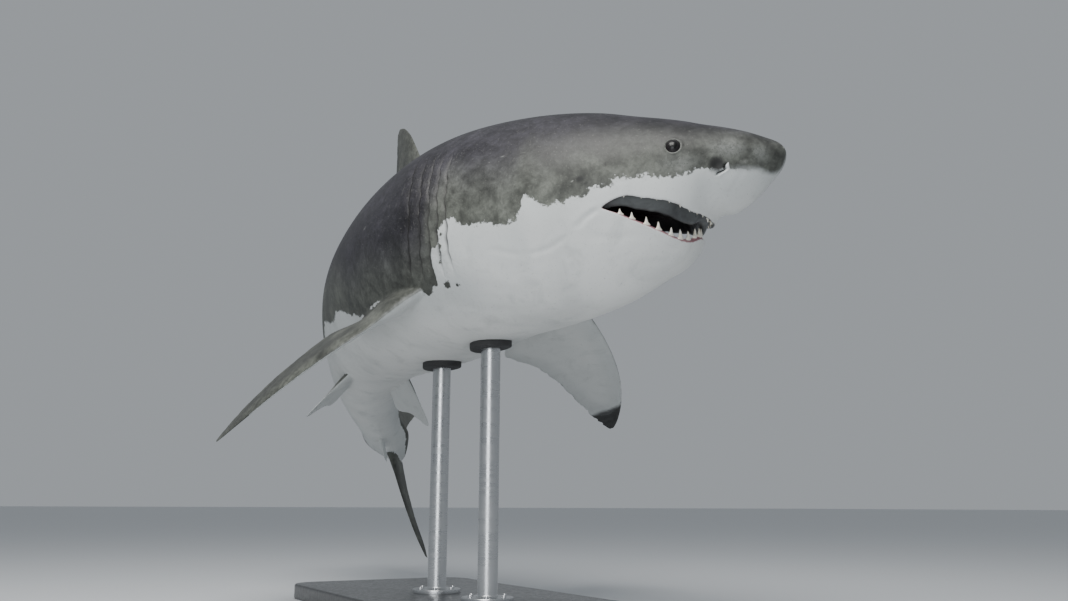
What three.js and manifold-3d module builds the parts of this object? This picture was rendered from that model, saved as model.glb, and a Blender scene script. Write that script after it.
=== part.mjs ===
// Great white shark, an adult of 4.5 m, as a life-size display model on a stand.
//
// Millimetres, +Z up. The origin is the centre of the underside of the stand's base, and the
// trunk swims towards +X. The shark is modelled in body places (station, side, height), in
// percent of its total length: station runs back from the snout along the spine, side is positive
// to the animal's left, and height is positive towards its back. The spine is bent in a left turn.

import * as THREE from "three";
import { mergeVertices } from "three/addons/utils/BufferGeometryUtils.js";
import Module from "manifold-3d";

const wasm = await Module();
wasm.setup();

// ---------------------------------------------------------------- driving dimensions

const TOTAL_LENGTH = 4500;
const PERCENT = TOTAL_LENGTH / 100;
const RING_SIDES = 28;
const JOIN_GAP = 0.5; // between two lengths of the body
const FIT_GAP = 0.5; // between the body and a piece that grows from it
const BODY_END = 85.8; // the station where the tail stalk runs out between the tail's lobes

// Where the spine is at station 20, and how the shark heads there, in degrees.
const ANCHOR_STATION = 20;
const ANCHOR_PLACE = new THREE.Vector3(680, 0, 1420);
const HEADING = 17;
const PITCH = 3;
const ROLL = 4;

// The bend of the spine in degrees for each tenth of the length: to the side, up and down, twist.
const BENDS = [
  [0, 0, -1, -1],
  [10, -10.5, -1, -1],
  [22, -22.5, 0.5, -1],
  [34, 0.5, -2, -2],
  [46, -7.5, -8.5, -4.5],
  [58, -8, -9, -1],
  [70, -13, -4.5, 3],
  [84, -12.5, -3.5, 4],
];

// The body's section at each station: back, belly, half width, height of the widest line, and the
// power of the curve above and below that line (2 is an ellipse, less is more pointed).
const SECTIONS = [
  [0, 0, 0, 0, 0, 2, 2],
  [0.35, 0.7, -0.98, 1.05, 0, 2, 2],
  [1.2, 1.2, -1.85, 1.95, 0, 2, 2],
  [2.5, 1.85, -2.95, 2.85, 0, 2, 2],
  [4, 2.45, -3.7, 3.55, -0.05, 2, 2],
  [5.5, 2.98, -3.98, 4.13, -0.13, 2, 2],
  [6.4, 3.35, -5.3, 4.45, -0.2, 2, 2.05],
  [7.5, 3.75, -6.6, 4.75, -0.3, 2, 2.1],
  [10, 4.6, -7.8, 5.3, -0.6, 2, 2.2],
  [12.5, 5.5, -8.7, 6.0, -0.9, 2, 2.2],
  [16, 6.4, -9.35, 7.0, -1.1, 2, 2.2],
  [20, 7.15, -9.6, 7.9, -1.2, 2, 2.2],
  [25, 7.9, -9.6, 8.7, -1.2, 1.95, 2.2],
  [30, 8.3, -9.75, 9.0, -1.1, 1.9, 2.2],
  [36, 8.2, -9.9, 8.8, -0.9, 1.9, 2.2],
  [42, 7.7, -9.6, 8.1, -0.7, 1.9, 2.2],
  [48, 7.0, -8.9, 7.2, -0.5, 1.9, 2.1],
  [54, 6.2, -7.8, 6.2, -0.3, 1.9, 2.1],
  [60, 5.3, -6.4, 5.2, -0.2, 1.9, 2],
  [66, 4.4, -5.0, 4.2, -0.1, 1.9, 2],
  [72, 3.45, -3.6, 3.2, 0, 1.9, 2],
  [77, 2.6, -2.5, 2.65, 0, 1.8, 1.8],
  [80.5, 1.95, -1.85, 2.75, 0, 1.5, 1.5],
  [83, 1.6, -1.45, 1.85, 0, 1.5, 1.5],
  [BODY_END, 0.6, -0.55, 0.2, 0, 2, 2],
];

// The lengths that the body is divided into, each with its inner rings.
const HEAD_RINGS = [0, 0.35, 0.9, 1.8, 3, 4.2, 5.5, 6.4, 7.5, 8.8, 10.2, 11.7, 13.5, 15.5, 17.5, 19.6];
const BODY_LENGTHS = {
  gill_region: [19.6, 21, 22.4, 23.8, 25.1, 26.4],
  trunk_front: [26.4, 28.5, 31, 33.5, 36, 38],
  trunk_middle: [38, 41, 44, 47, 50],
  trunk_rear: [50, 53, 56, 59, 62],
  tail_stalk: [62, 65, 68, 71, 74, 76.5, 78.5, 80.5, 82.3, 84.2, BODY_END],
};

// The lips, from the middle of the front (0) to the corner of the mouth (1): station and angle
// round the body, where 0 is the back and 180 the belly.
const UPPER_LIP = [
  [0, 5.65, 180],
  [0.12, 5.7, 165],
  [0.25, 6.0, 149],
  [0.38, 6.45, 136],
  [0.5, 7.05, 123.5],
  [0.62, 7.8, 115],
  [0.75, 9.0, 108.5],
  [0.88, 10.35, 103.3],
  [1, 11.7, 105],
];
const LOWER_LIP = [
  [0, 6.35, 180],
  [0.12, 6.45, 172],
  [0.25, 6.85, 162],
  [0.38, 7.35, 149.5],
  [0.5, 8.0, 137],
  [0.62, 8.8, 127.3],
  [0.75, 9.75, 118.7],
  [0.88, 10.75, 110.7],
  [1, 11.7, 105],
];
const THROAT = [15, 0, -3.6];
const PALATE_RISE = 1.7;
const FLOOR_DROP = 1.0;
const LIP_STEPS = 20;
const LINING_DEPTHS = [0, 0.1, 0.2, 0.55]; // of the way from the lips to the throat
const GUM = { depth: 0.1, drop: 0.72, width: 0.05 }; // the upper gum, which hangs behind the lip
const LIP_REACH = 60; // how far the cut for the mouth passes out of the skin

// The outline, station and height, of what belongs to the lower jaw.
const JAW_OUTLINE = [
  [12.6, -3.3],
  [11.7, -3.1],
  [10, -3.4],
  [8.5, -3.95],
  [7.3, -4.4],
  [6.3, -4.6],
  [6.0, -4.7],
  [5.95, -12],
  [15.2, -12],
];
const JAW_HALF_WIDTH = 9;
const JAW_CUT = [0.01, 0.018];

const LOWER_TEETH = 9; // on each side
const LOWER_TOOTH = { height: 36, shrink: 0.6, sink: 12, inset: 0.05, lean: 0.16 };
const UPPER_TEETH = 9;
const UPPER_TOOTH = { height: 10, shrink: 0.5, sink: 14, inset: 0.04, lean: 0 };
const TOOTH_WIDTH = 0.55; // of its whole height
const TOOTH_THICKNESS = 0.5; // of its width
const TOOTH_SIDES = 4;

const EYE = { station: 6.85, angle: 77.8, radius: 30, depth: 21 };
const NOSTRIL = { station: 4.2, angle: 111, length: 34, width: 11, depth: 26 };

const GILL_STATIONS = [21.3, 22.15, 23.0, 23.9, 24.9];
const GILL_TOP = 57;
const GILL_BOTTOM = 116;
const GILL_STEPS = 4;
const GILL_WIDTH = 6;
const GILL_DEPTH = 18; // at the middle of a slit, over its depth at the ends
const GILL_END_DEPTH = 4;
const GILL_REACH = 10; // how far the cut for a slit passes out of the skin
const GILL_BOW = 0.5; // how far the middle of a slit bows forward

// A paired fin: its planform as rows of [out, front edge, rear edge], and how it is held.
const PECTORAL_PLAN = [
  [-2.6, -0.6, 7.8],
  [0, 0, 8.6],
  [0.7, 0.25, 10.8],
  [1.5, 0.5, 11.7],
  [2.6, 0.9, 11.4],
  [4, 1.5, 10.7],
  [6, 2.5, 10.7],
  [8.8, 4.2, 11.2],
  [12, 6.7, 12.2],
  [15.6, 10.4, 13.3],
  [16.9, 12.1, 13.5],
  [17.4, 12.9, 13.4],
];
const PECTORAL_ROOT = { station: 28.6, side: 6.9, pivot: 4.2, ramp: 6 };
const PECTORAL_SIZE = 1.02;
const PECTORAL_RIGHT = { height: -6.1, droop: 31, sweep: 15, twist: 7, rootTwist: -2, curl: 0.23 };
const PECTORAL_LEFT = { height: -7.1, droop: 25, sweep: 7, twist: -14, rootTwist: -14, curl: -0.05 };
const PELVIC_PLAN = [
  [-1.2, -1.2, 5.6],
  [0, 0, 6.9],
  [0.6, 0.6, 7.9],
  [1.3, 1.25, 8.0],
  [2.3, 2.3, 6.6],
  [3.6, 3.6, 6.1],
  [4.6, 4.8, 5.9],
  [4.9, 5.3, 5.7],
];
const PELVIC_ROOT = { station: 53.6, side: 2.9, pivot: 0, ramp: 6 };
const PELVIC_HOLD = { height: -6.6, droop: 42, sweep: 0, twist: 0, rootTwist: 0, curl: 0 };

// A fin in the middle plane: rows of [height, front edge, rear edge].
const DORSAL_PLAN = [
  [5.8, 36.4, 48.2],
  [7.2, 37.3, 49.9],
  [7.9, 37.75, 51.0],
  [8.6, 38.15, 49.6],
  [9.6, 38.65, 48.4],
  [11, 39.45, 47.9],
  [13.4, 41.0, 47.6],
  [16, 43.0, 47.35],
  [17.6, 44.8, 47.15],
  [18.3, 45.9, 46.95],
];
const SECOND_DORSAL_PLAN = [
  [1.6, 73.4, 76.2],
  [3.0, 74.4, 76.9],
  [3.6, 75.0, 77.6],
  [4.3, 75.8, 77.2],
  [4.7, 76.4, 77.1],
];
const ANAL_PLAN = [
  [-4.5, 78.3, 79.1],
  [-4.0, 77.6, 79.2],
  [-3.2, 76.8, 79.6],
  [-2.6, 76.3, 78.9],
  [-1.4, 75.4, 78.2],
];
const UPPER_LOBE_PLAN = [
  [0.01, 79.0, 85.6],
  [1.9, 79.8, 85.9],
  [3.6, 81.9, 86.5],
  [6, 84.0, 87.7],
  [8.8, 86.2, 89.4],
  [11.8, 88.7, 91.5],
  [14.6, 91.1, 93.4],
  [16.8, 93.1, 94.6],
  [18.0, 94.3, 95.05],
];
const LOWER_LOBE_PLAN = [
  [-13.3, 89.1, 89.55],
  [-11.8, 87.7, 89.25],
  [-8.6, 85.3, 87.8],
  [-5.6, 83.2, 86.7],
  [-3.4, 81.6, 86.1],
  [-1.7, 80.1, 85.75],
  [-0.01, 79.0, 85.6],
];

// A fin's section across its chord: how far back, and how thick of the greatest thickness.
const FOIL = [
  [0, 0.22],
  [0.06, 0.62],
  [0.28, 1],
  [0.6, 0.62],
  [1, 0.04],
];
const THIN_EDGE = 1.6; // least thickness of a fin anywhere

// Each fin's greatest thickness, as a share of its chord.
const THICKNESS = { pectoral: 0.085, pelvic: 0.07, first_dorsal: 0.095, small: 0.1, tail: 0.095 };

const BASE = { length: 1500, width: 800, corner: 110, height: 60, bevel: 8 };
const ROD_STATIONS = [26.8, 36];
const ROD_RADIUS = 36;
const FLANGE_RADIUS = 92;
const FLANGE_HEIGHT = 14;
const FLANGE_EDGE = 3; // the small bevel round a flange
const ROD_FILLET = 10; // where a rod meets its flange
const SADDLE_RADIUS = 78;
const SADDLE_THICKNESS = 22;
const ROUND_SIDES = 20;

// ---------------------------------------------------------------- materials

function finish(colour, roughness, metalness = 0) {
  return new THREE.MeshStandardMaterial({ color: colour, roughness, metalness });
}

const backSkin = finish(0x5b625e, 0.5);
const bellySkin = finish(0xd8dcda, 0.5);
const flankSkin = finish(0x8f9793, 0.5);
const eyeBlack = finish(0x0a0b0d, 0.15);
const darkLacquer = finish(0x1d1f21, 0.35);
const brushedSteel = finish(0xb4b8bb, 0.3, 1);
const blackRubber = finish(0x202123, 0.8);

// ---------------------------------------------------------------- curves

// A smooth curve through rows of [x, y, ...]: each pair of rows is joined by a cubic whose slopes
// come from the rows on either side.
function through(rows, column, x) {
  const last = rows.length - 1;
  const at = Math.min(Math.max(x, rows[0][0]), rows[last][0]);
  let i = 0;
  while (i < last - 1 && at >= rows[i + 1][0]) i += 1;
  const rise = (j) => (rows[j + 1][column] - rows[j][column]) / (rows[j + 1][0] - rows[j][0]);
  const slope = (j) => {
    if (j === 0) return rise(0);
    if (j === last) return rise(last - 1);
    const before = rows[j][0] - rows[j - 1][0];
    const after = rows[j + 1][0] - rows[j][0];
    return (after * rise(j - 1) + before * rise(j)) / (before + after);
  };
  const h = rows[i + 1][0] - rows[i][0];
  const t = (at - rows[i][0]) / h;
  return (
    (2 * t ** 3 - 3 * t ** 2 + 1) * rows[i][column] +
    (t ** 3 - 2 * t ** 2 + t) * h * slope(i) +
    (3 * t ** 2 - 2 * t ** 3) * rows[i + 1][column] +
    (t ** 3 - t ** 2) * h * slope(i + 1)
  );
}

const radians = THREE.MathUtils.degToRad;
const mix = THREE.MathUtils.lerp;
const smooth = (t) => THREE.MathUtils.smoothstep(t, 0, 1);

// ---------------------------------------------------------------- the spine

const SPINE_STEP = 0.5;
const SPINE_END = 100;

// Turns a frame (x ahead, y left, z up) by the bend between two stations.
function bentBy(frame, station, step) {
  const rate = (column) => radians(through(BENDS, column, station)) / 10;
  const turn = new THREE.Vector3(rate(3), rate(2), rate(1)).multiplyScalar(step);
  const angle = turn.length();
  return frame.clone().multiply(new THREE.Quaternion().setFromAxisAngle(turn.normalize(), angle));
}

const ahead = (frame) => new THREE.Vector3(1, 0, 0).applyQuaternion(frame);

function anchorFrame() {
  const heading = new THREE.Quaternion().setFromAxisAngle(new THREE.Vector3(0, 0, 1), radians(HEADING));
  const pitch = new THREE.Quaternion().setFromAxisAngle(new THREE.Vector3(0, 1, 0), radians(-PITCH));
  const roll = new THREE.Quaternion().setFromAxisAngle(new THREE.Vector3(1, 0, 0), radians(ROLL));
  return heading.multiply(pitch).multiply(roll);
}

// Walks along the spine from the anchor, forward or back, keeping each frame and place.
function makeSpine() {
  const knots = [];
  const middle = Math.round(ANCHOR_STATION / SPINE_STEP);
  knots[middle] = { frame: anchorFrame(), place: ANCHOR_PLACE.clone() };
  const walk = (from, to, direction) => {
    for (let i = from; i !== to; i += direction) {
      const here = knots[i];
      const station = (i + direction / 2) * SPINE_STEP;
      const frame = bentBy(here.frame, station, SPINE_STEP * direction);
      const along = ahead(here.frame).add(ahead(frame)).multiplyScalar(0.5);
      const place = here.place.clone().addScaledVector(along, -SPINE_STEP * PERCENT * direction);
      knots[i + direction] = { frame, place };
    }
  };
  walk(middle, Math.round(SPINE_END / SPINE_STEP), 1);
  walk(middle, 0, -1);
  return knots;
}

const SPINE = makeSpine();

// The frame's directions and the spine's place at a station.
function spineAt(station) {
  const i = Math.min(Math.max(Math.floor(station / SPINE_STEP), 0), SPINE.length - 2);
  const t = station / SPINE_STEP - i;
  const frame = SPINE[i].frame.clone().slerp(SPINE[i + 1].frame, t);
  return {
    place: SPINE[i].place.clone().lerp(SPINE[i + 1].place, t),
    forward: ahead(frame),
    left: new THREE.Vector3(0, 1, 0).applyQuaternion(frame),
    up: new THREE.Vector3(0, 0, 1).applyQuaternion(frame),
  };
}

function bodyPlace([station, side, height]) {
  const { place, left, up } = spineAt(station);
  return place.addScaledVector(left, side * PERCENT).addScaledVector(up, height * PERCENT);
}

// ---------------------------------------------------------------- the body's surface

// Side and height, in percent, of the section at an angle from the back, positive to the right.
function sectionPoint(station, angle) {
  const [back, belly, half, widest, upper, lower] = [1, 2, 3, 4, 5, 6].map((column) =>
    through(SECTIONS, column, station),
  );
  const c = Math.cos(radians(angle));
  const s = Math.sin(radians(angle));
  const power = 2 / (c >= 0 ? upper : lower);
  const reach = (c >= 0 ? back : belly) - widest;
  return [-half * Math.sign(s) * Math.abs(s) ** power, widest + reach * Math.abs(c) ** power];
}

// A body place on the section, moved out of it by grow millimetres.
function skinPlace(station, angle, grow = 0) {
  const [side, height] = sectionPoint(station, angle);
  if (grow === 0) return [station, side, height];
  const [sideA, heightA] = sectionPoint(station, angle - 1);
  const [sideB, heightB] = sectionPoint(station, angle + 1);
  const normal = new THREE.Vector2(heightB - heightA, sideA - sideB).normalize();
  const step = grow / PERCENT;
  return [station, side + normal.x * step, height + normal.y * step];
}

function bodyRing(station, grow = 0) {
  if (station === 0) return [bodyPlace([-grow / PERCENT, 0, 0])];
  const ring = [];
  for (let i = 0; i < RING_SIDES; i += 1) {
    ring.push(bodyPlace(skinPlace(station, (i * 360) / RING_SIDES, grow)));
  }
  return ring;
}

// ---------------------------------------------------------------- solids

// A closed skin over rings of points. A ring of one point is a pole, and an end ring of more
// points is closed with a flat fan.
function loft(rings) {
  const points = [];
  const starts = rings.map((ring) => points.push(...ring) - ring.length);
  const faces = [];
  for (let i = 0; i + 1 < rings.length; i += 1) {
    const [here, next] = [rings[i].length, rings[i + 1].length];
    const count = Math.max(here, next);
    for (let j = 0; j < count; j += 1) {
      const k = (j + 1) % count;
      const a = starts[i] + (j % here);
      const b = starts[i] + (k % here);
      const c = starts[i + 1] + (j % next);
      const d = starts[i + 1] + (k % next);
      faces.push([a, b, c], [b, d, c]);
    }
  }
  const closeWith = (index, turned) => {
    const ring = rings[index];
    for (let j = 1; j + 1 < ring.length; j += 1) {
      const fan = [starts[index], starts[index] + j, starts[index] + j + 1];
      faces.push(turned ? fan.reverse() : fan);
    }
  };
  closeWith(0, true);
  closeWith(rings.length - 1, false);
  return meshOf(points, faces);
}

function meshOf(points, faces) {
  const geometry = new THREE.BufferGeometry().setFromPoints(points);
  geometry.setIndex(faces.flat());
  return geometry;
}

// A solid for cutting and joining, with its faces pointing out.
function solidOf(source) {
  const geometry = source.clone();
  geometry.deleteAttribute("normal");
  geometry.deleteAttribute("uv");
  const merged = mergeVertices(geometry, 1e-3);
  const index = merged.index.array;
  const places = merged.attributes.position;
  const kept = [];
  let volume = 0;
  const corner = [new THREE.Vector3(), new THREE.Vector3(), new THREE.Vector3()];
  for (let i = 0; i < index.length; i += 3) {
    const [a, b, c] = [index[i], index[i + 1], index[i + 2]];
    if (a === b || b === c || c === a) continue;
    kept.push(a, b, c);
    [a, b, c].forEach((vertex, n) => corner[n].fromBufferAttribute(places, vertex));
    volume += corner[0].dot(corner[1].clone().cross(corner[2]));
  }
  const triVerts = new Uint32Array(volume < 0 ? kept.reverse() : kept);
  return new wasm.Manifold(
    new wasm.Mesh({ numProp: 3, vertProperties: new Float32Array(places.array), triVerts }),
  );
}

function geometryOf(solid) {
  const { vertProperties, triVerts } = solid.getMesh();
  const geometry = new THREE.BufferGeometry();
  geometry.setAttribute("position", new THREE.BufferAttribute(vertProperties.slice(), 3));
  geometry.setIndex(new THREE.BufferAttribute(triVerts.slice(), 1));
  return geometry;
}

const shark = new THREE.Group();

function addPiece(name, solid, material) {
  const mesh = new THREE.Mesh(geometryOf(solid), material);
  mesh.name = name;
  shark.add(mesh);
}

// A length of the body between two stations, drawn in by half the join gap at each cut end.
function bodyLength(stations, grow = 0, gap = JOIN_GAP) {
  const trim = gap / 2 / PERCENT;
  const last = stations.length - 1;
  const rings = stations.map((station, i) => {
    if (i === 0 && station > 0) return bodyRing(station + trim, grow);
    if (i === last && station < BODY_END) return bodyRing(station - trim, grow);
    return bodyRing(station, grow);
  });
  return solidOf(loft(rings));
}

const ALL_RINGS = [...new Set([...HEAD_RINGS, ...Object.values(BODY_LENGTHS).flat()])];
const grownBody = (grow) => bodyLength(ALL_RINGS, grow, 0);

// ---------------------------------------------------------------- the mouth

// A point of a lip: t is 0 at the front, 1 at the right corner and -1 at the left one.
function lipPlace(lip, t, grow = 0) {
  const station = through(lip, 1, Math.abs(t));
  const angle = through(lip, 2, Math.abs(t));
  return skinPlace(station, t < 0 ? -angle : angle, grow);
}

// A point of the mouth's lining, v of the way from the lip to the throat. The roof rises and the
// floor drops between them, by nothing at the corners. The upper gum hangs a little lower.
function liningPlace(lip, rise, t, v) {
  const [station, side, height] = lipPlace(lip, t);
  const gum = rise > 0 ? GUM.drop * Math.exp(-(((v - GUM.depth) / GUM.width) ** 2)) : 0;
  const swell = (rise * Math.sin(Math.PI * v) - gum) * (1 - t ** 4);
  return [
    mix(station, THROAT[0], v),
    mix(side, THROAT[1], v),
    mix(height, THROAT[2], v) + swell,
  ];
}

function mouthCut() {
  const rings = [];
  for (let i = 0; i <= LIP_STEPS; i += 1) {
    const t = mix(-1, 1, i / LIP_STEPS);
    const roof = LINING_DEPTHS.map((v) => liningPlace(UPPER_LIP, PALATE_RISE, t, v));
    const floor = LINING_DEPTHS.map((v) => liningPlace(LOWER_LIP, -FLOOR_DROP, t, v)).reverse();
    const ring = [lipPlace(UPPER_LIP, t, LIP_REACH), ...roof, THROAT, ...floor];
    ring.push(lipPlace(LOWER_LIP, t, LIP_REACH));
    rings.push(ring.map(bodyPlace));
  }
  return solidOf(loft(rings));
}

// The block of space that the lower jaw takes from the head, moved by the parting cut.
function jawBlock([back, up]) {
  const rings = [-JAW_HALF_WIDTH, JAW_HALF_WIDTH].map((side) =>
    JAW_OUTLINE.map(([station, height]) => bodyPlace([station + back, side, height + up])),
  );
  const points = rings.flat();
  const count = JAW_OUTLINE.length;
  const faces = [];
  const flat = JAW_OUTLINE.map(([station, height]) => new THREE.Vector2(station, height));
  THREE.ShapeUtils.triangulateShape(flat, []).forEach(([a, b, c]) => {
    faces.push([a, b, c], [c + count, b + count, a + count]);
  });
  for (let j = 0; j < count; j += 1) {
    const k = (j + 1) % count;
    faces.push([j, j + count, k], [k, j + count, k + count]);
  }
  return solidOf(meshOf(points, faces));
}

// Teeth: flat cones that stand in the gum just inside a lip, largest at the front.
function toothSolid(lip, rise, t, kind, upwards) {
  const height = kind.height * (1 - kind.shrink * t * t);
  const whole = height + kind.sink;
  const foot = bodyPlace(liningPlace(lip, rise, t, kind.inset));
  const { up } = spineAt(through(lip, 1, Math.abs(t)));
  const outward = bodyPlace(lipPlace(lip, t)).sub(bodyPlace(THROAT));
  outward.addScaledVector(up, -outward.dot(up)).normalize();
  const point = up.clone().multiplyScalar(upwards).addScaledVector(outward, kind.lean).normalize();
  const along = new THREE.Vector3().crossVectors(point, outward).normalize();
  const facing = new THREE.Vector3().crossVectors(along, point);
  const width = (kind.height + kind.sink) * TOOTH_WIDTH * (1 - kind.shrink * t * t);
  const cone = new THREE.ConeGeometry(width / 2, whole, TOOTH_SIDES);
  cone.scale(1, 1, TOOTH_THICKNESS);
  const middle = foot.clone().addScaledVector(point, whole / 2 - kind.sink);
  cone.applyMatrix4(new THREE.Matrix4().makeBasis(along, point, facing).setPosition(middle));
  return solidOf(cone);
}

function addTeeth(solid, lip, rise, count, kind, upwards) {
  let toothed = solid;
  for (let i = 0; i < count; i += 1) {
    const t = (i + 0.6) / (count + 1);
    for (const side of [-1, 1]) {
      toothed = toothed.add(toothSolid(lip, rise, side * t, kind, upwards));
    }
  }
  return toothed;
}

// ---------------------------------------------------------------- eyes, nostrils and gills

function eyeBall(side, grow = 0) {
  const ball = new THREE.SphereGeometry(EYE.radius + grow, 12, 8);
  const centre = bodyPlace(skinPlace(EYE.station, side * EYE.angle, -EYE.depth));
  return solidOf(ball.translate(centre.x, centre.y, centre.z));
}

// A pit for the nostril, long across the snout.
function nostrilCut(side) {
  const middle = bodyPlace(skinPlace(NOSTRIL.station, side * NOSTRIL.angle));
  const above = bodyPlace(skinPlace(NOSTRIL.station, side * (NOSTRIL.angle - 3)));
  const out = bodyPlace(skinPlace(NOSTRIL.station, side * NOSTRIL.angle, 1)).sub(middle).normalize();
  const long = above.sub(middle).normalize();
  const across = new THREE.Vector3().crossVectors(out, long);
  const pit = new THREE.SphereGeometry(0.5, 8, 6);
  pit.scale(NOSTRIL.width, NOSTRIL.length, NOSTRIL.depth);
  pit.applyMatrix4(new THREE.Matrix4().makeBasis(across, long, out).setPosition(middle));
  return solidOf(pit);
}

// A wedge that opens one gill slit: its edge lies inside the body and leans back.
function gillCut(station, side) {
  const rings = [];
  const half = GILL_WIDTH / 2 / PERCENT;
  for (let i = 0; i <= GILL_STEPS; i += 1) {
    const t = i / GILL_STEPS;
    const angle = side * mix(GILL_TOP, GILL_BOTTOM, t);
    const middle = station + GILL_BOW * (0.5 - Math.sin(Math.PI * t));
    const depth = GILL_END_DEPTH + GILL_DEPTH * Math.sin(Math.PI * t);
    rings.push([
      bodyPlace(skinPlace(middle - half, angle, GILL_REACH)),
      bodyPlace(skinPlace(middle + half, angle, GILL_REACH)),
      bodyPlace(skinPlace(middle + 3 * half, angle, -depth)),
    ]);
  }
  return solidOf(loft(rings));
}

// ---------------------------------------------------------------- fins

// The outline of a foil section as pairs [chord fraction, signed half thickness fraction].
const FOIL_OUTLINE = [
  ...FOIL.map(([back, thick]) => [back, thick]),
  ...FOIL.map(([back, thick]) => [back, -thick]).reverse(),
];

function foilRing(front, rear, thickness, toPlace) {
  return FOIL_OUTLINE.map(([back, share]) => {
    const least = Math.sign(share) * THIN_EDGE / 2;
    const off = Math.abs(share * thickness) / 2 > THIN_EDGE / 2 ? (share * thickness) / 2 : least;
    return toPlace(mix(front, rear, back), off);
  });
}

// A fin in the middle plane of the body. Its thickness is a share of its chord.
function medianFin(plan, share) {
  const rings = plan.map(([height, front, rear]) => {
    const thickness = (rear - front) * PERCENT * share;
    return foilRing(front, rear, thickness, (station, off) =>
      bodyPlace([station, off / PERCENT, height]),
    );
  });
  return solidOf(loft(rings)).subtract(bodyAndGap);
}

// A paired fin, which droops, sweeps back and twists from its root to its tip.
function pairedFin(plan, root, hold, side, share, size = 1) {
  const { forward, left, up } = spineAt(root.station);
  const pivot = bodyPlace([root.station, side * root.side, hold.height]);
  const droop = radians(hold.droop);
  const out = left.multiplyScalar(side * Math.cos(droop)).addScaledVector(up, -Math.sin(droop));
  const back = forward.negate();
  const above = new THREE.Vector3().crossVectors(back, out).multiplyScalar(-side);
  const sweep = radians(hold.sweep);
  const reach = plan[plan.length - 1][0];
  const rings = plan.map(([span, front, rear]) => {
    const along = span * size;
    const ramp = smooth(Math.max(along, 0) / root.ramp);
    const twist = mix(radians(hold.rootTwist), radians(hold.twist), ramp);
    const chord = back.clone().multiplyScalar(Math.cos(twist));
    chord.addScaledVector(above, Math.sin(twist));
    const face = above.clone().multiplyScalar(Math.cos(twist));
    face.addScaledVector(back, -Math.sin(twist));
    const curl = hold.curl * (Math.max(along, 0) / reach) ** 2 * reach;
    const middle = pivot
      .clone()
      .addScaledVector(out, along * Math.cos(sweep) * PERCENT)
      .addScaledVector(chord, along * Math.sin(sweep) * PERCENT)
      .addScaledVector(face, -curl * PERCENT);
    const chordwise = chord.multiplyScalar(Math.cos(sweep)).addScaledVector(out, -Math.sin(sweep));
    const thickness = (rear - front) * size * PERCENT * share;
    return foilRing(front * size, rear * size, thickness, (station, off) =>
      middle
        .clone()
        .addScaledVector(chordwise, (station - root.pivot) * PERCENT)
        .addScaledVector(face, off),
    );
  });
  return solidOf(loft(rings)).subtract(bodyAndGap);
}

// ---------------------------------------------------------------- the shark

const mouth = mouthCut();
const wholeHead = bodyLength(HEAD_RINGS).subtract(mouth);
const bareJaw = wholeHead.intersect(jawBlock([0, 0]));
const lowerJaw = addTeeth(bareJaw, LOWER_LIP, -FLOOR_DROP, LOWER_TEETH, LOWER_TOOTH, 1);
let head = wholeHead.subtract(jawBlock(JAW_CUT));
head = addTeeth(head, UPPER_LIP, PALATE_RISE, UPPER_TEETH, UPPER_TOOTH, -1);
for (const side of [-1, 1]) {
  head = head.subtract(eyeBall(side, FIT_GAP)).subtract(nostrilCut(side));
}
addPiece("head", head, backSkin);
addPiece("lower_jaw", lowerJaw, bellySkin);
addPiece("eye_right", eyeBall(1), eyeBlack);
addPiece("eye_left", eyeBall(-1), eyeBlack);

for (const [name, stations] of Object.entries(BODY_LENGTHS)) {
  let length = bodyLength(stations);
  if (name === "gill_region") {
    for (const station of GILL_STATIONS) {
      length = length.subtract(gillCut(station, 1)).subtract(gillCut(station, -1));
    }
  }
  addPiece(name, length, flankSkin);
}

const bodyAndGap = grownBody(FIT_GAP);
const pectoral = (hold, side) =>
  pairedFin(PECTORAL_PLAN, PECTORAL_ROOT, hold, side, THICKNESS.pectoral, PECTORAL_SIZE);
addPiece("pectoral_fin_right", pectoral(PECTORAL_RIGHT, -1), flankSkin);
addPiece("pectoral_fin_left", pectoral(PECTORAL_LEFT, 1), flankSkin);
const pelvic = (side) => pairedFin(PELVIC_PLAN, PELVIC_ROOT, PELVIC_HOLD, side, THICKNESS.pelvic);
addPiece("pelvic_fin_right", pelvic(-1), bellySkin);
addPiece("pelvic_fin_left", pelvic(1), bellySkin);
addPiece("first_dorsal_fin", medianFin(DORSAL_PLAN, THICKNESS.first_dorsal), backSkin);
addPiece("second_dorsal_fin", medianFin(SECOND_DORSAL_PLAN, THICKNESS.small), backSkin);
addPiece("anal_fin", medianFin(ANAL_PLAN, THICKNESS.small), bellySkin);
addPiece("tail_fin_upper_lobe", medianFin(UPPER_LOBE_PLAN, THICKNESS.tail), backSkin);
addPiece("tail_fin_lower_lobe", medianFin(LOWER_LOBE_PLAN, THICKNESS.tail), backSkin);

// ---------------------------------------------------------------- the stand

function standBase() {
  const { length, width, corner, height, bevel } = BASE;
  const [x, y] = [length / 2 - bevel, width / 2 - bevel];
  const outline = new THREE.Shape();
  outline.moveTo(-x + corner, -y);
  outline.lineTo(x - corner, -y);
  outline.absarc(x - corner, -y + corner, corner, -Math.PI / 2, 0);
  outline.absarc(x - corner, y - corner, corner, 0, Math.PI / 2);
  outline.absarc(-x + corner, y - corner, corner, Math.PI / 2, Math.PI);
  outline.absarc(-x + corner, -y + corner, corner, Math.PI, 1.5 * Math.PI);
  const slab = new THREE.ExtrudeGeometry(outline, {
    depth: height - 2 * bevel,
    bevelSize: bevel,
    bevelThickness: bevel,
    bevelSegments: 1,
    curveSegments: 5,
  });
  return solidOf(slab.translate(0, 0, bevel));
}

// Where a rod stands, and the height of the belly over it.
function rodFoot(station) {
  const belly = bodyPlace([station, 0, through(SECTIONS, 2, station)]);
  return { x: belly.x, y: belly.y, belly: belly.z };
}

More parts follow.
